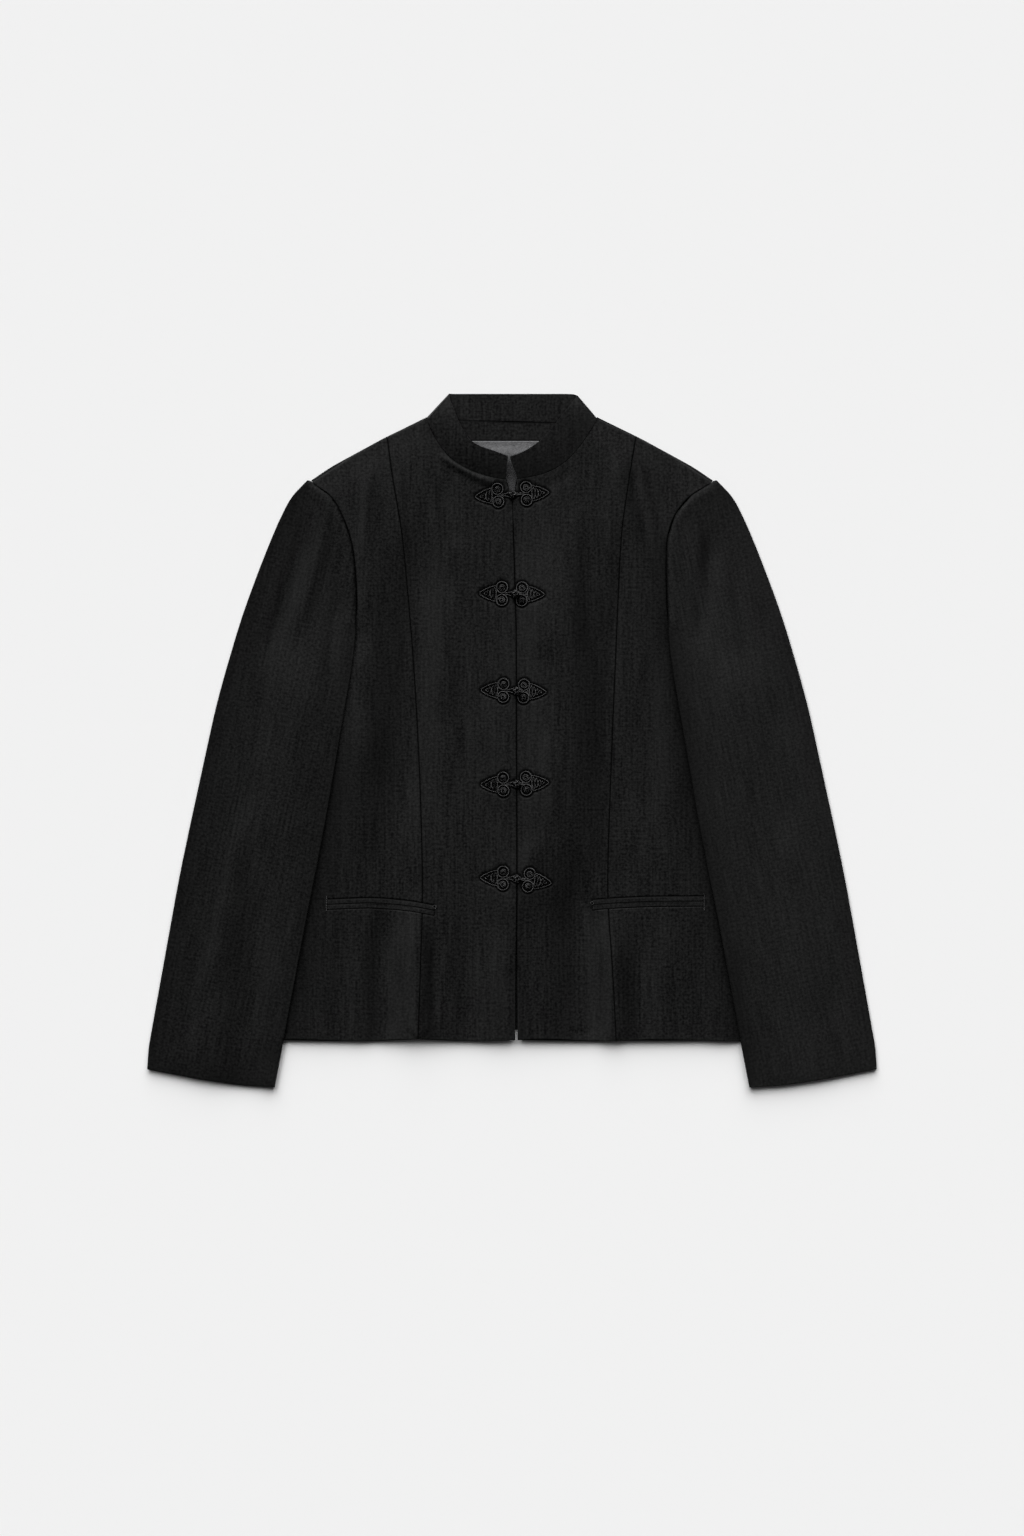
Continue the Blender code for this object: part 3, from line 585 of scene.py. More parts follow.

# Soft folds: start x and y, end x and y, bow of the middle, half width, rise, lean.
# A fold whose rise is negative is a trough. A lean, where there is one, makes one flank the steeper.
frontFolds = [
    # the broad rise of the middle, and the valleys along the two princess seams
    (0.048, 0.235, 0.049, -0.19, 0.0, 0.043, 0.006),
    (-0.088, 0.24, -0.112, -0.12, 0.0, 0.021, -0.0036),
    (0.1, 0.24, 0.097, -0.16, 0.0, 0.024, -0.003),
    (-0.14, 0.225, -0.15, -0.08, 0.0, 0.015, 0.0018),
    # the wearer's right front, upper half
    (-0.152, 0.05, -0.152, -0.14, 0.0, 0.018, 0.0016),
    (-0.158, 0.2, -0.184, -0.05, -0.004, 0.014, 0.0012),
    (-0.14, 0.28, -0.146, 0.17, 0.003, 0.007, 0.001),
    (-0.112, 0.28, -0.11, 0.19, 0.001, 0.0055, 0.0008),
    (-0.072, 0.262, -0.05, 0.19, 0.003, 0.008, -0.0012, 0.2),
    (-0.05, 0.12, -0.054, -0.08, -0.003, 0.009, -0.0008),
    (-0.018, 0.06, -0.004, -0.075, 0.002, 0.012, 0.0012),
    (-0.07, 0.16, -0.068, 0.02, 0.001, 0.008, 0.0009),
    # and its lower half
    (-0.095, -0.15, -0.094, -0.35, 0.0, 0.0135, 0.0038),
    (-0.129, -0.16, -0.127, -0.35, 0.001, 0.015, -0.0036),
    (-0.168, -0.165, -0.172, -0.35, 0.0, 0.012, -0.001),
    (-0.047, -0.16, -0.041, -0.35, 0.002, 0.014, -0.0017),
    (-0.006, -0.17, 0.0, -0.35, 0.001, 0.014, 0.002),
    (-0.078, -0.2, -0.076, -0.29, 0.001, 0.005, -0.0008),
    # the wearer's left front, upper half
    (0.076, 0.225, 0.08, 0.06, 0.003, 0.01, -0.0012),
    (0.094, 0.262, 0.098, 0.11, -0.002, 0.008, 0.001),
    (0.02, 0.15, 0.03, 0.08, 0.0, 0.011, 0.001),
    (0.034, 0.01, 0.044, -0.09, 0.001, 0.009, 0.0012),
    (0.113, 0.175, 0.108, -0.05, 0.001, 0.0075, 0.0011),
    (0.134, 0.11, 0.136, -0.12, -0.002, 0.013, -0.0012),
    (0.152, 0.08, 0.162, -0.09, -0.003, 0.011, 0.0014),
    (0.118, 0.29, 0.146, 0.178, 0.002, 0.006, -0.0014, 0.2),
    (0.134, 0.282, 0.16, 0.188, 0.002, 0.0055, -0.0012, 0.2),
    (0.102, 0.29, 0.122, 0.2, 0.002, 0.007, 0.0011),
    # and its lower half
    (0.03, -0.09, 0.0, -0.19, 0.003, 0.012, 0.0016, 0.1),
    (0.062, -0.11, 0.068, -0.36, -0.003, 0.024, -0.0054),
    (0.1, -0.165, 0.101, -0.35, 0.0, 0.0135, 0.0034, -0.1),
    (0.127, -0.175, 0.131, -0.345, 0.001, 0.0095, -0.0012),
    (0.154, -0.165, 0.156, -0.35, 0.001, 0.011, 0.0008),
    (0.186, -0.16, 0.196, -0.34, 0.0, 0.009, -0.0008),
    # under the collar
    (-0.074, 0.287, -0.012, 0.2545, 0.003, 0.0032, 0.0025),
    (0.026, 0.25, 0.064, 0.272, 0.002, 0.006, -0.0005),
]
sleeveFolds = [
    (-0.184, 0.232, -0.222, 0.1, -0.004, 0.0085, 0.0012),
    (-0.206, 0.226, -0.25, 0.07, -0.004, 0.009, -0.0012, 0.2),
    (-0.172, 0.16, -0.184, 0.03, 0.002, 0.008, -0.001),
    (-0.2, 0.08, -0.246, -0.11, -0.004, 0.014, 0.0006),
    (-0.24, 0.11, -0.284, -0.11, -0.004, 0.013, -0.0006),
    (-0.252, -0.13, -0.276, -0.42, -0.002, 0.022, -0.003),
    (-0.268, -0.07, -0.304, -0.26, -0.003, 0.01, 0.0008),
    (-0.312, -0.18, -0.334, -0.32, -0.003, 0.009, -0.0008),
    (0.182, 0.236, 0.206, 0.09, 0.004, 0.008, 0.0012),
    (0.2, 0.215, 0.19, 0.09, 0.0, 0.011, -0.002),
    (0.22, 0.2, 0.244, 0.06, 0.004, 0.0085, -0.001, -0.2),
    (0.206, 0.07, 0.238, -0.12, 0.004, 0.014, 0.0005),
    (0.25, 0.1, 0.288, -0.13, 0.004, 0.013, -0.0004),
    (0.228, -0.2, 0.25, -0.33, 0.003, 0.012, -0.0014, -0.1),
    (0.272, -0.08, 0.304, -0.28, 0.003, 0.012, 0.001),
    (0.316, -0.228, 0.334, -0.345, 0.0, 0.009, -0.0008),
]


def foldRise(x, y, folds):
    total = 0.0
    for startX, startY, endX, endY, bow, half, rise, *lean in folds:
        runX, runY = endX - startX, endY - startY
        long = math.hypot(runX, runY)
        t = ((x - startX) * runX + (y - startY) * runY) / long ** 2
        if t < -0.05 or t > 1.05:
            continue
        across = ((x - startX) * runY - (y - startY) * runX) / long - bow * 4 * t * (1 - t)
        if abs(across) > 3 * half:
            continue
        ends = ease((t + 0.05) / 0.35) * ease((1.05 - t) / 0.35)
        wide = half * (0.8 + 0.4 * t)
        shape = math.exp(-((across / wide) ** 2)) * (1 + sum(lean) * across / half)
        total += rise * ends * shape
    return total


ripple = {"wide": 0.045, "rise": 0.00035, "fine": 0.013, "fineRise": 0.00008, "stretch": 2.4}


def rippleRise(x, y, seed):
    # faint unevenness, longer down the body than across it
    big = noise.noise(Vector((x / ripple["wide"], y / ripple["wide"] / ripple["stretch"], seed)))
    small = noise.noise(Vector((x / ripple["fine"], y / ripple["fine"] / ripple["stretch"], seed + 9)))
    return ripple["rise"] * big + ripple["fineRise"] * small


seam = {
    "roll": 0.0010,  # how far in from a seam the cloth turns down into it
    "depth": 0.0009,
    "allowance": 0.0032,  # the turned-in cloth shows as a low ridge this far from the seam
    "ridge": 0.00022,
    "pucker": 0.00016,
    "puckerLong": 0.0075,
    "capHigh": 0.240,  # below the shoulder's end only
    "capRoll": 0.0020,  # the sleeve caps turn down to the fronts within this
}

# how far the neck edges of the back and of its facing reach up to the collar's seam, and from which height
neckReach = {"back": (0.0010, 0.3170), "neck_facing": (0.0026, 0.3135)}
throat = 0.086  # half the width in which they do
capCorner = {"near": 0.1975, "far": 0.2042, "low": 0.2540, "high": 0.2590}  # where the cap meets the shoulder


def reachCollar(name, outline):
    up, low = neckReach.get(name, (0.0, 0.0))
    made = [(x, y + up) if abs(x) < throat and y > low else (x, y) for x, y in outline]
    if name.startswith("sleeve_top"):
        made = [(x, max(y, capCorner["high"])) if atCap(x, y) else (x, y) for x, y in made]
    return made


def atCap(x, y):
    return capCorner["near"] < abs(x) < capCorner["far"] and y > capCorner["low"]


outlines = {}
for label in ("front_centre", "front_side", "sleeve_top"):
    for side in ("left", "right"):
        outlines[f"{label}_{side}"] = cutOutline(f"{label}_{side}")
shape = mergedForm("collar")
outlines["collar"] = []
for line in shape.edges:
    a, b = (vert.co for vert in line.verts)
    count = int((b - a).length / 0.001) + 1
    outlines["collar"] += [tuple(a.lerp(b, k / count))[:2] for k in range(count + 1)]
shape.free()
sleeveTree = nearTree(outlines["sleeve_top_left"] + outlines["sleeve_top_right"])
collarTree = nearTree(outlines["collar"])

# painted shade: a painted shadow on the fronts where the sleeves lie against the body, and darker towards the
# sleeves' own edges
paintedLight = {
    "beside": 0.66,
    "right": (0.026, 0.06, 0.12),  # how wide this is on each front, from which height down, and its fade
    "left": (0.017, 0.225, 0.03),
    "edgeFar": 0.62,
    "edgeNear": 0.34,
    "edgeWide": 0.020,
    "lee": 2.9,  # painted shade on the flanks of folds that face away from the light
    "most": 0.62,
    "lit": 2.4,  # and a painted highlight on those that face it
    "brightest": 0.4,
    "reach": 0.0008,  # a flank's slope is taken this far to each side
    "turned": {"right": 0.07, "left": 0.0},  # painted shade over the whole of one sleeve
    # painted sheen over the whole of the other sleeve
    "raised": {"right": 0.0, "left": 0.30},
}
lightWay = (0.77, -0.64)  # the way that the side light goes, seen from above


# painted shadow on a front where a sleeve lies against it
def sleeveShadowShare(x, y):
    wide, high, fade = paintedLight["right" if x < 0 else "left"]
    away = sleeveTree.find((x, y, 0.0))[2]
    return paintedLight["beside"] * math.exp(-away / wide) * ease((high - y) / fade)


def slopeShade(x, y, folds):
    # painted shade and painted highlight: how far a flank faces away from the light, or towards it
    aside, down = (paintedLight["reach"] * share for share in lightWay)
    fall = foldRise(x - aside, y - down, folds) - foldRise(x + aside, y + down, folds)
    fall /= 2 * paintedLight["reach"]
    return min(paintedLight["most"], max(0.0, fall * paintedLight["lee"])), min(paintedLight["brightest"], max(0.0, -fall * paintedLight["lit"]))


mouth = {
    "depth": 0.00105,  # the fronts are let in this deep under the jets, so that these lie flush
    "flank": 0.0011,
    "rows": (-0.0001, -0.0006, -0.0012, -0.0019),  # points of the fronts round each jet
    "wall": 0.0006,
    "dome": 0.00025,
    "half": 0.0023,
}
jetOutlines = [
    cutOutline(f"pocket_{side}_{lip}_jet", 0.0014) for side in ("left", "right") for lip in ("upper", "lower")
]


def rimRows(outline, steps):
    # the outline, and rows of points a little way in from it
    count = len(outline)
    rows = [[tuple(point) for point in outline]]
    for step in steps:
        rows.append([])
        for i in range(count):
            here = Vector(outline[i])
            before = (here - Vector(outline[i - 1])).normalized()
            after = (Vector(outline[(i + 1) % count]) - here).normalized()
            tangent = (before + after).normalized()
            mitre = max(0.5, tangent.dot(after))
            place = here + Vector((-tangent.y, tangent.x)) * (step / mitre)
            rows[-1].append(tuple(place))
    return rows


mouthRows = [point for outline in jetOutlines for row in rimRows(outline, mouth["rows"])[1:] for point in row]


pressIn = {"depth": 0.0009, "from": 0.0017, "flank": 0.0013, "step": 0.0009}


def gridRound(points, step, reach):
    # fine points round the frogs, so that the cloth can follow them
    places = set()
    near = int(reach / step) + 1
    for px, py in points:
        i, j = round(px / step), round(py / step)
        places.update((i + di, j + dj) for di in range(-near, near + 1) for dj in range(-near, near + 1))
    return [((i + 0.5 * (j % 2)) * step, j * step) for i, j in sorted(places)]


frogRows = gridRound(frogPoints, pressIn["step"], 0.0020)


def frogPress(x, y):
    # 1 at a frog's cords, falling to 0 a little way off
    if abs(x) > 0.05:
        return 0.0
    away = frogTree.find((x, y, 0.0))[2]
    return 1 - ease((away - pressIn["from"]) / pressIn["flank"])


def inOutline(x, y, outline):
    inside = False
    for (ax, ay), (bx, by) in zip(outline, outline[1:] + outline[:1]):
        if (ay > y) != (by > y) and x < ax + (y - ay) / (by - ay) * (bx - ax):
            inside = not inside
    return inside


def mouthDip(x, y):
    # how far a front lies lower at a point, to let the jets in
    if y > -0.145 or y < -0.185:
        return 0.0
    if any(inOutline(x, y, outline) for outline in jetOutlines):
        return mouth["depth"]
    away = min(math.dist((x, y), point) for outline in jetOutlines for point in outline)
    return mouth["depth"] * (1 - ease(away / mouth["flank"]))


def onCloth(surface, flat, face, reach):
    # false for a triangle that bridges a hollow of the outline
    x = sum(flat[i][0] for i in face) / 3
    y = sum(flat[i][1] for i in face) / 3
    if dropped(surface, x, y):
        return True
    near = surface.find_nearest(Vector((x, y, 0.005)))[0]
    return math.dist((near.x, near.y), (x, y)) < panel["bridge"] + reach


def cutPanel(name, step):
    # flat points and triangles of one panel, with each point's distance in from the edge
    form = mergedForm(name)
    outline = reachCollar(name, outlines.get(name) or cutOutline(name))
    sewn = sewnShares(name, outline)
    _, wider, tucked = rimRows(outline, [-panel["close"], -panel["tuck"]])
    moved = []
    for i, (x, y) in enumerate(outline):
        if name.startswith("front") and collarTree.find((x, y, 0.0))[2] < panel["collarReach"]:
            sewn[i] = 1.0
            moved.append(tucked[i])
        else:
            moved.append(tuple(mixed((x, y), wider[i], sewn[i])))
    outline = moved
    upper = list(upperFaces(form))
    corners = {}
    points, faces = [], []
    for face in upper:
        for vert in face.verts:
            if vert not in corners:
                corners[vert] = len(points)
                points.append(vert.co.copy())
        faces.append([corners[vert] for vert in face.verts])
    form.free()
    surface = BVHTree.FromPolygons(points, faces)
    edge = nearTree(outline)
    rows = rimRows(outline, panel["rimSteps"])
    flat = [point for row in rows for point in row]
    inset = [distance for distance, row in zip((0.0, *panel["rimSteps"]), rows) for _ in row]
    nearest = [i for row in rows for i in range(len(row))]
    if name.startswith("front"):
        for x, y in mouthRows + frogRows:
            found = edge.find((x, y, 0.0))
            if found[2] > panel["rimSteps"][-1] and dropped(surface, x, y):
                flat.append((x, y))
                inset.append(found[2])
                nearest.append(found[1])
    lows = [min(point[k] for point in outline) for k in (0, 1)]
    highs = [max(point[k] for point in outline) for k in (0, 1)]
    least = panel["rimSteps"][-1] + 0.45 * step
    for j in range(int((highs[1] - lows[1]) / step) + 1):
        for i in range(int((highs[0] - lows[0]) / step) + 1):
            x = lows[0] + (i + 0.5 * (j % 2)) * step
            y = lows[1] + j * step
            found = edge.find((x, y, 0.0))
            if found[2] < least or not dropped(surface, x, y):
                continue
            flat.append((x, y))
            inset.append(found[2])
            nearest.append(found[1])
    border = list(range(len(outline)))
    result = delaunay_2d_cdt([Vector(point) for point in flat], [], [border], 1, 1e-7, True)
    kept = [source[0] if source else None for source in result[3]]
    faces = [face for face in result[2] if all(kept[i] is not None for i in face)]
    faces = [[kept[i] for i in face] for face in faces]
    reach = neckReach.get(name, (0.0, 0.0))[0]
    faces = [face for face in faces if onCloth(surface, flat, face, reach)]
    return {
        "outline": outline, "flat": flat, "inset": inset, "nearest": nearest, "faces": faces,
        "surface": surface, "sewn": sewn,
    }


def sewnShares(name, outline):
    # for each point of the outline, 1 where another panel is sewn to it and 0 where the edge is free
    if name not in outlines:
        return [0.0] * len(outline)
    tree = nearTree([point for key, points in outlines.items() if key != name for point in points])
    near = [tree.find((x, y, 0.0))[2] < panel["sewnReach"] for x, y in outline]
    count = len(near)
    return [sum(near[(i + k) % count] for k in range(-2, 3)) / 5 for i in range(count)]


def baseHeights(cut):
    surface = cut["surface"]
    return [
        (dropped(surface, x, y) or surface.find_nearest(Vector((x, y, 0.006)))[0]).z for x, y in cut["flat"]
    ]


def smoothed(cut, heights, rounds):
    form = bmesh.new()
    verts = [form.verts.new((x, y, z)) for (x, y), z in zip(cut["flat"], heights)]
    for face in cut["faces"]:
        form.faces.new([verts[i] for i in face])
    for _ in range(rounds):
        bmesh.ops.smooth_vert(form, verts=form.verts, factor=0.5, use_axis_z=True)
    made = [vert.co.z for vert in verts]
    form.free()
    return made


def layPanel(name, step, folds=(), seed=0.0, grain=0.0, pressed=0.0, cap=0.0,
             finish=None, wall=None, dome=0.0, fullness=1.0, rounds=None, inlaid=False, turned=0.0,
             raised=0.0):
    cut = cutPanel(name, step)
    wall = wall or panel["wall"]
    sewn = cut["sewn"]
    heights = smoothed(cut, baseHeights(cut), rounds or panel["smoothRounds"])
    spread = 0.0002 if inlaid else panel["spread"]
    around = [(0.0, 0.0)] + [
        (spread * math.cos(k * math.tau / 6), spread * math.sin(k * math.tau / 6)) for k in range(6)
    ]
    floors = [laid.at(x, y, around) for x, y in cut["flat"]]
    floors = smoothed(cut, floors, 3)
    tops, falls, seamLinesAndPaintedShade, edgesAndPaintedLight = [], [], [], []
    for (x, y), inset, near, z, floor in zip(
        cut["flat"], cut["inset"], cut["nearest"], heights, floors,
    ):
        share = sewn[near]
        inside = ease(inset / panel["edgeFade"])
        free = panel["edgeShare"] + (1 - panel["edgeShare"]) * inside
        rise = foldRise(x, y, folds) * (free + (1 - free) * share) + rippleRise(x, y, seed) * inside
        if share > 0:
            along = noise.noise(Vector((x / seam["puckerLong"], y / seam["puckerLong"], seed + 4)))
            rise += share * seam["pucker"] * along * math.exp(-inset / 0.006)
            turnedIn = ease((seam["allowance"] + 0.0012 - inset) / 0.0012)
            rise += share * pressed * seam["ridge"] * turnedIn
            rise += share * cap * ease(inset / 0.004) * math.exp(-((inset - 0.004) / 0.010) ** 2)
        if dome:
            rise += dome * rounded(inset / mouth["half"])
        lowest = floor + panel["clear"] + wall if floor > 0.0005 else wall
        crease = math.exp(-((inset / 0.0005) ** 2)) if inlaid else 0.0
        if name.startswith("front"):
            dip, press = mouthDip(x, y), frogPress(x, y)
            rise -= dip + pressIn["depth"] * press
            # painted shade in the dips round the jets and round the frogs' cords, and painted shadow beside
            # the sleeves
            crease = max(dip / mouth["depth"], press)
            crease = max(crease, sleeveShadowShare(x, y))
        if name.startswith("sleeve"):
            # painted shade towards each sleeve's edges
            strength = paintedLight["edgeFar"] if cut["outline"][near][0] < x else paintedLight["edgeNear"]
            crease = max(crease, strength * math.exp(-inset / paintedLight["edgeWide"]) * (1 - share))
        away, facing = slopeShade(x, y, folds)
        # painted shade from the flanks, and over the whole of one sleeve
        crease = 1 - (1 - crease) * (1 - turned) * (1 - away)
        edge = math.exp(-inset / 0.0009) * (1 - share)
        if name == "neck_facing":
            crease, edge = math.exp(-((inset / 0.0012) ** 2)), 0.0
        edgesAndPaintedLight.append(max(raised, facing, edge))
        tops.append(lowest + rise if inlaid else softMax(z + rise, lowest))
        seamLinesAndPaintedShade.append(max(crease, share * math.exp(-((inset / 0.0008) ** 2))))
        reach = wall * 0.62 + share * (seam["roll"] - wall * 0.62)
        fall = (0.5 * wall + share * 0.3 * seam["depth"]) * (1 - rounded(inset / reach))
        atBody = share > 0 and inset < seam["capRoll"] and y < seam["capHigh"]
        if name.startswith("sleeve_top") and atBody:
            level = body.at(x, y, around)
            if level > 0.001:
                fall += share * max(0.0, tops[-1] - level) * (1 - rounded(inset / seam["capRoll"]))
        falls.append(fall)
    points, below = [], []
    rim = len(cut["outline"])
    for i, ((x, y), top, fall) in enumerate(zip(cut["flat"], tops, falls)):
        points.append(Vector((x, y, top - fall)))
    for i, ((x, y), top, fall) in enumerate(zip(cut["flat"], tops, falls)):
        if i < rim:
            below.append(i)
            continue
        below.append(len(points))
        points.append(Vector((x, y, top - max(wall - min(fall, wall * 0.48), fall + panel["least"]))))
    faces = list(cut["faces"]) + [[below[i] for i in reversed(face)] for face in cut["faces"]]
    mesh = bpy.data.meshes.new(name + "_cloth")
    mesh.from_pydata(points, [], faces)
    mesh.shade_smooth()
    addGrain(mesh, grain, seed)
    for label, values in (("edge", edgesAndPaintedLight), ("crease", seamLinesAndPaintedShade)):
        addShares(mesh, label, values + [0.0] * (len(points) - len(values)))
    mesh.materials.append(finish or clothBlack)
    piece = linked(name + "_cloth", mesh)
    declare(piece, name)
    area = outlineArea(cut["outline"]) * fullness
    size = [max(narrowest, side) for side in turnedSize(cut["outline"], grain)]
    print(name, "laid:", len(faces), "triangles, cut", [round(v, 3) for v in size], round(area, 4))
    return piece, points, faces


def softMax(a, b, blend=0.0004):
    # the greater of two heights, with no crease where they cross
    return (a + b + math.sqrt((a - b) ** 2 + blend ** 2)) / 2


def addGrain(mesh, grain, seed):
    # a flat map in metres, whose second axis runs along the grain
    layer = mesh.uv_layers.new(name="weave")
    cos, sin = math.cos(grain), math.sin(grain)
    shift = 0.37 * seed
    flat = []
    for loop in mesh.loops:
        x, y, _ = mesh.vertices[loop.vertex_index].co
        flat += [x * cos + y * sin + shift, y * cos - x * sin + shift]
    layer.data.foreach_set("uv", flat)


def outlineArea(outline):
    total = 0.0
    for (ax, ay), (bx, by) in zip(outline, outline[1:] + outline[:1]):
        total += (ax * by - bx * ay) / 2
    return total


def turnedSize(outline, grain):
    cos, sin = math.cos(grain), math.sin(grain)
    across = [x * cos + y * sin for x, y in outline]
    along = [y * cos - x * sin for x, y in outline]
    return (max(across) - min(across), max(along) - min(along))


back, points, faces = layPanel("back", panel["hiddenStep"], seed=1.0)
laid.add(points, faces)
for label, finish, slotName in (("neck_facing", clothBlack, "shell"), ("neck_lining", liningGrey, "lining")):
    piece, points, faces = layPanel(
        label, panel["step"], seed=2.0, finish=finish, wall=panel["innerWall"],
    )
    laid.add(points, faces)
    if label == "neck_lining":
        # painted shade in the slit, darkest lower down
        addShares(piece.data, "shade", [ease((0.2925 - vert.co.y) / 0.016) for vert in piece.data.vertices])

fronts = []
for side, seed in (("right", 3.0), ("left", 5.0)):
    fronts.append(layPanel(f"front_centre_{side}", panel["step"], frontFolds, seed))
    fronts.append(layPanel(f"front_side_{side}", panel["step"], frontFolds, seed + 1, pressed=1.0))
for _, points, faces in fronts:
    laid.add(points, faces)
    body.add(points, faces)

for side in ("right", "left"):
    for lip in ("upper", "lower"):
        _, points, faces = layPanel(
            f"pocket_{side}_{lip}_jet", 0.0011, seed=7.0, grain=math.pi / 2, wall=mouth["wall"],
            dome=mouth["dome"], fullness=1.35, inlaid=True,
        )
        laid.add(points, faces)

sleeveGrain = {"right": -0.20, "left": 0.20}  # the sleeves' own slant, in radians
for side, seed in (("right", 8.0), ("left", 9.0)):
    under = layPanel(
        f"sleeve_under_{side}", panel["hiddenStep"], seed=seed, grain=sleeveGrain[side], rounds=45,
    )
    laid.add(*under[1:])
for side, seed in (("right", 10.0), ("left", 12.0)):
    upper = layPanel(
        f"sleeve_top_{side}", panel["step"], sleeveFolds, seed, grain=sleeveGrain[side], cap=0.0010,
        rounds=160, turned=paintedLight["turned"][side], raised=paintedLight["raised"][side],
    )
    laid.add(*upper[1:])
print("panels laid")


# The stand collar, smoothed from its own node

collar = {
    "levels": 3, "edgeRound": 0.0007, "roundSteps": 3, "crease": math.radians(50),
    "slit": 0.0030,  # how much nearer the left end comes at the top, and within which width
    "slitWide": 0.016,
    "raised": 1.5,  # painted highlight where the collar turns away from the light
}


def makeCollar():
    form = mergedForm("collar")
    bmesh.ops.join_triangles(
        form, faces=form.faces, angle_face_threshold=math.radians(30), angle_shape_threshold=math.radians(70),
    )
    for vert in form.verts:
        x, y = vert.co.x, vert.co.y
        if 0.0 < x < collar["slitWide"]:
            vert.co.x -= collar["slit"] * ease((y - 0.266) / 0.009) * ease(1 - x / collar["slitWide"])
    sharp = form.edges.layers.float.new("crease_edge")
    for line in form.edges:
        if line.calc_face_angle(0.0) > collar["crease"]:
            line[sharp] = 1.0
    mesh = bpy.data.meshes.new("collar_cloth")
    form.to_mesh(mesh)
    form.free()
    piece = linked("collar_cloth", mesh)
    rounder = piece.modifiers.new("Smooth", "SUBSURF")
    rounder.levels = rounder.render_levels = collar["levels"]
    bevel = piece.modifiers.new("Edge", "BEVEL")
    bevel.width = collar["edgeRound"]
    bevel.segments = collar["roundSteps"]
    bevel.limit_method = "ANGLE"
    bevel.angle_limit = collar["crease"]
    mesh = evaluatedMesh(piece)
    piece.modifiers.clear()
    piece.data = mesh
    mesh.shade_smooth()
    # painted highlight on the collar's faces that turn away from the light
    lees = [vert.normal.x * lightWay[0] + vert.normal.y * lightWay[1] for vert in mesh.vertices]
    addShares(mesh, "edge", [
        min(0.8, max(0.0, lee * collar["raised"])) * ease((vert.normal.z - 0.3) / 0.3)
        for lee, vert in zip(lees, mesh.vertices)
    ])
    addGrain(mesh, 0.0, 14.0)
    mesh.materials.clear()
    mesh.materials.append(clothBlack)
    declare(piece, "collar")
    print("collar made:", len(mesh.polygons), "faces")
    return piece


makeCollar()


# Cords are swept along the frogs' paths, and stitches laid along the pocket ends

def newTree(name, inputs, output):
    # a geometry tree's graph, and a signal for each of its named inputs
    tree = bpy.data.node_groups.new(name, "GeometryNodeTree")
    for label, kind in inputs:
        tree.interface.new_socket(label, in_out="INPUT", socket_type="NodeSocket" + kind)
    tree.interface.new_socket(output, in_out="OUTPUT", socket_type="NodeSocketGeometry")
    graph = Graph(tree)
    given = tree.nodes.new("NodeGroupInput")
    return graph, [Signal(graph, socket) for socket in list(given.outputs)[:len(inputs)]]


def endTree(graph, made, finish):
    made = graph.node("GeometryNodeRealizeInstances", None, {"Geometry": made})
    made = graph.node("GeometryNodeSetMaterial", None, {"Geometry": made, "Material": finish})
    out = graph.tree.nodes.new("NodeGroupOutput")
    graph.feed(out.inputs[0], made)
    return graph.tree


def cordTree():
    # sweeps a round cord along each path of the mesh that it is given
    graph, (path, radius, spacing, sides, finish) = newTree("cordAlongPath", (
        ("Path", "Geometry"), ("Radius", "Float"), ("Spacing", "Float"), ("Sides", "Int"),
        ("Finish", "Material"),
    ), "Cord")

    def marked(curve, name, output):
        place = graph.node("GeometryNodeSplineParameter", None, None, output)
        return graph.node("GeometryNodeStoreNamedAttribute", {"data_type": "FLOAT", "domain": "POINT"}, {
            "Geometry": curve, "Name": name, "Value": place,
        })

    curve = graph.node("GeometryNodeMeshToCurve", None, {"Mesh": path})
    curve = graph.node("GeometryNodeCurveSplineType", {"spline_type": "CATMULL_ROM"}, {"Curve": curve})
    curve = graph.node("GeometryNodeResampleCurve", {"mode": "LENGTH"}, {"Curve": curve, "Length": spacing})
    ring = graph.node("GeometryNodeCurvePrimitiveCircle", None, {"Resolution": sides, "Radius": radius})
    tube = graph.node("GeometryNodeCurveToMesh", None, {
        "Curve": marked(curve, "along", 1), "Profile Curve": marked(ring, "around", 0), "Fill Caps": True,
    })
    return endTree(graph, tube, finish)


def runTree(tree, name, paths, values):
    # paths are lists of points, with True first where one is closed
    points, lines = [], []
    for closed, run in paths:
        first = len(points)
        points += [tuple(point) for point in run]
        lines += [(first + i, first + i + 1) for i in range(len(run) - 1)]
        if closed:
            lines.append((first + len(run) - 1, first))
    mesh = bpy.data.meshes.new(name)
    mesh.from_pydata(points, lines, [])
    obj = linked(name, mesh)
    swept = obj.modifiers.new("Nodes", "NODES")
    swept.node_group = tree
    for item in tree.interface.items_tree:
        if item.in_out == "INPUT" and item.name in values:
            swept[item.identifier] = values[item.name]
    made = evaluatedMesh(obj)
    obj.modifiers.clear()
    obj.data = made
    bpy.data.meshes.remove(mesh)
    return obj


cordGroup = cordTree()


def clothUnder(x, y):
    return laid.at(x, y, ((0.0, 0.0), (0.0004, 0.0), (-0.0004, 0.0), (0.0, 0.0004), (0.0, -0.0004)))


def lifted(paths):
    # from heights above the cloth to heights above the table
    return [(closed, [(x, y, clothUnder(x, y) + z) for x, y, z in run]) for closed, run in paths]


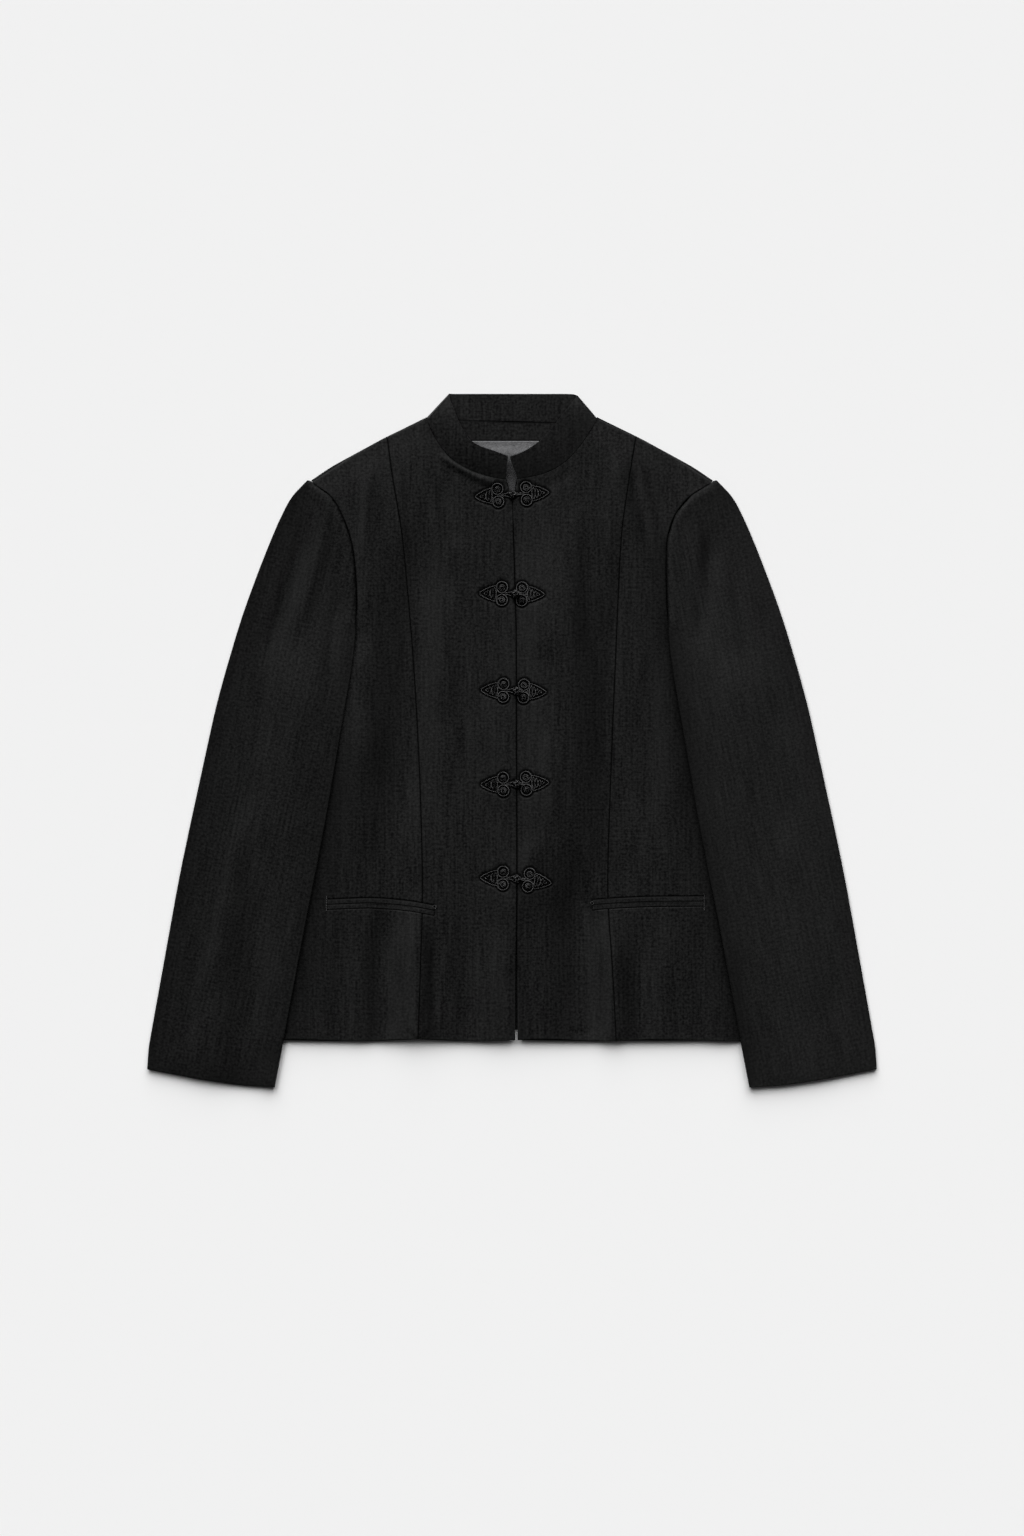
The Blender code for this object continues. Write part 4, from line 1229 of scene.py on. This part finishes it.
def sweepCords(name, groups, replaced):
    # groups are paths with the radius of their cord, laid on the cloth and joined into one piece
    form = bmesh.new()
    for k, (paths, radius) in enumerate(groups):
        part = runTree(cordGroup, f"{name}_{k}", lifted(paths), {
            "Radius": radius, "Spacing": frog["spacing"], "Sides": frog["sides"], "Finish": cordBlack,
        })
        form.from_mesh(part.data)
        old = part.data
        bpy.data.objects.remove(part)
        bpy.data.meshes.remove(old)
    mesh = bpy.data.meshes.new(name)
    form.to_mesh(mesh)
    form.free()
    mesh.materials.append(cordBlack)
    mesh.shade_smooth()
    declare(linked(name, mesh), replaced)


for node, groups in frogGroups.items():
    sweepCords(node + "_cord", groups, node)
print("frogs knotted")


# Bar tacks at the ends of the pocket mouths

tack = {"thread": 0.00026, "spacing": 0.00046, "wide": 0.0011, "eye": 0.0016}


def stitchTree():
    # lays small stitches side by side along each path
    graph, (path, spacing, thread, width, finish) = newTree("stitchesAlongPath", (
        ("Path", "Geometry"), ("Spacing", "Float"), ("Thread", "Float"), ("Width", "Float"),
        ("Finish", "Material"),
    ), "Stitches")
    curve = graph.node("GeometryNodeMeshToCurve", None, {"Mesh": path})
    points = graph.node("GeometryNodeCurveToPoints", {"mode": "LENGTH"}, {"Curve": curve, "Length": spacing})
    turn = Signal(graph, points.socket.node.outputs["Rotation"])
    bead = graph.node("GeometryNodeMeshIcoSphere", None, {"Radius": 1.0, "Subdivisions": 2})
    size = graph.node("ShaderNodeCombineXYZ", None, {0: width, 1: thread, 2: thread})
    made = graph.node("GeometryNodeInstanceOnPoints", None, {
        "Points": points, "Instance": bead, "Rotation": turn, "Scale": size,
    })
    return endTree(graph, made, finish)


stitchGroup = stitchTree()
for side, sign in (("right", -1), ("left", 1)):
    upLow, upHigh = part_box(f"pocket_{side}_upper_jet")
    lowLow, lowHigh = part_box(f"pocket_{side}_lower_jet")
    outer = upLow.x if sign < 0 else upHigh.x
    inner = upHigh.x if sign < 0 else upLow.x
    top, bottom = upHigh.y + 0.0015, lowLow.y - (0.0012 if side == "left" else -0.0045)
    rise = tack["thread"] * 0.6
    bar = [(outer + sign * 0.0006, top + (bottom - top) * k / 8, rise) for k in range(9)]
    end = (inner - sign * 0.0006, (upLow.y + lowHigh.y) / 2 - 0.0005)
    eye = []
    for k in range(12):
        angle = k * math.tau / 12
        eye.append((end[0] + tack["eye"] * math.cos(angle), end[1] + tack["eye"] * math.sin(angle), rise))
    paths = lifted([(False, bar), (True, eye)])
    piece = runTree(stitchGroup, f"pocket_{side}_bar_tacks", paths, {
        "Spacing": tack["spacing"], "Thread": tack["thread"], "Width": tack["wide"] / 2, "Finish": cordBlack,
    })
    piece.data.shade_smooth()
    declare(piece)
print("bar tacks sewn")


# Floor, light and camera

studio = {
    "floorGrey": 0.85,
    "cameraLens": 100.0,
    "cameraSensor": 36.0,
    "frameHigh": 1.536,  # metres of the table that the picture's height takes in
    "frameMiddle": (0.0, -0.0275),
    "clothHeight": 0.007,
    "top": ((-0.03, 0.82, 0.57), 4.55, math.radians(62)),  # where from, how strong and how soft
    "side": ((-0.38, 0.34, 0.86), 0.58, math.radians(18)),
    "ambient": 0.05,
}


def makeFloor():
    bpy.ops.mesh.primitive_plane_add(size=12.0, location=(0.0, 0.0, -0.0003))
    floor = bpy.context.object
    floor.name = "studio_floor"
    look = Finish("paleFloor", Roughness=0.9, Specular_IOR_Level=0.1)
    light = (studio["floorGrey"],) * 3
    grain = look.noise(look.node("ShaderNodeTexCoord", None, None, 3), 6.0)
    look.put("Base Color", look.mix(grain, (*(grey * 0.998 for grey in light), 1.0), (*light, 1.0)))
    floor.data.materials.append(look.material)


def makeLight(name, fromPlace, strength, soft):
    light = bpy.data.lights.new(name, "SUN")
    light.energy = strength
    light.angle = soft
    linked(name, light).rotation_euler = Vector(fromPlace).to_track_quat("Z", "Y").to_euler()


def makeCamera():
    lens = bpy.data.cameras.new("camera")
    lens.lens = studio["cameraLens"]
    lens.sensor_width = studio["cameraSensor"]
    lens.sensor_fit = "AUTO"
    camera = linked("camera", lens)
    away = studio["frameHigh"] * studio["cameraLens"] / studio["cameraSensor"]
    camera.location = (*studio["frameMiddle"], studio["clothHeight"] + away)
    lens.clip_end = 50.0
    bpy.context.scene.camera = camera


makeFloor()
makeLight("top_light", *studio["top"])
makeLight("side_light", *studio["side"])
makeCamera()
world = bpy.context.scene.world or bpy.data.worlds.new("studio")
bpy.context.scene.world = world
world.use_nodes = True
sky = world.node_tree.nodes["Background"]
sky.inputs["Color"].default_value = (1.0, 1.0, 1.0, 1.0)
sky.inputs["Strength"].default_value = studio["ambient"]
bpy.context.scene.view_settings.view_transform = "Standard"
print("studio set")
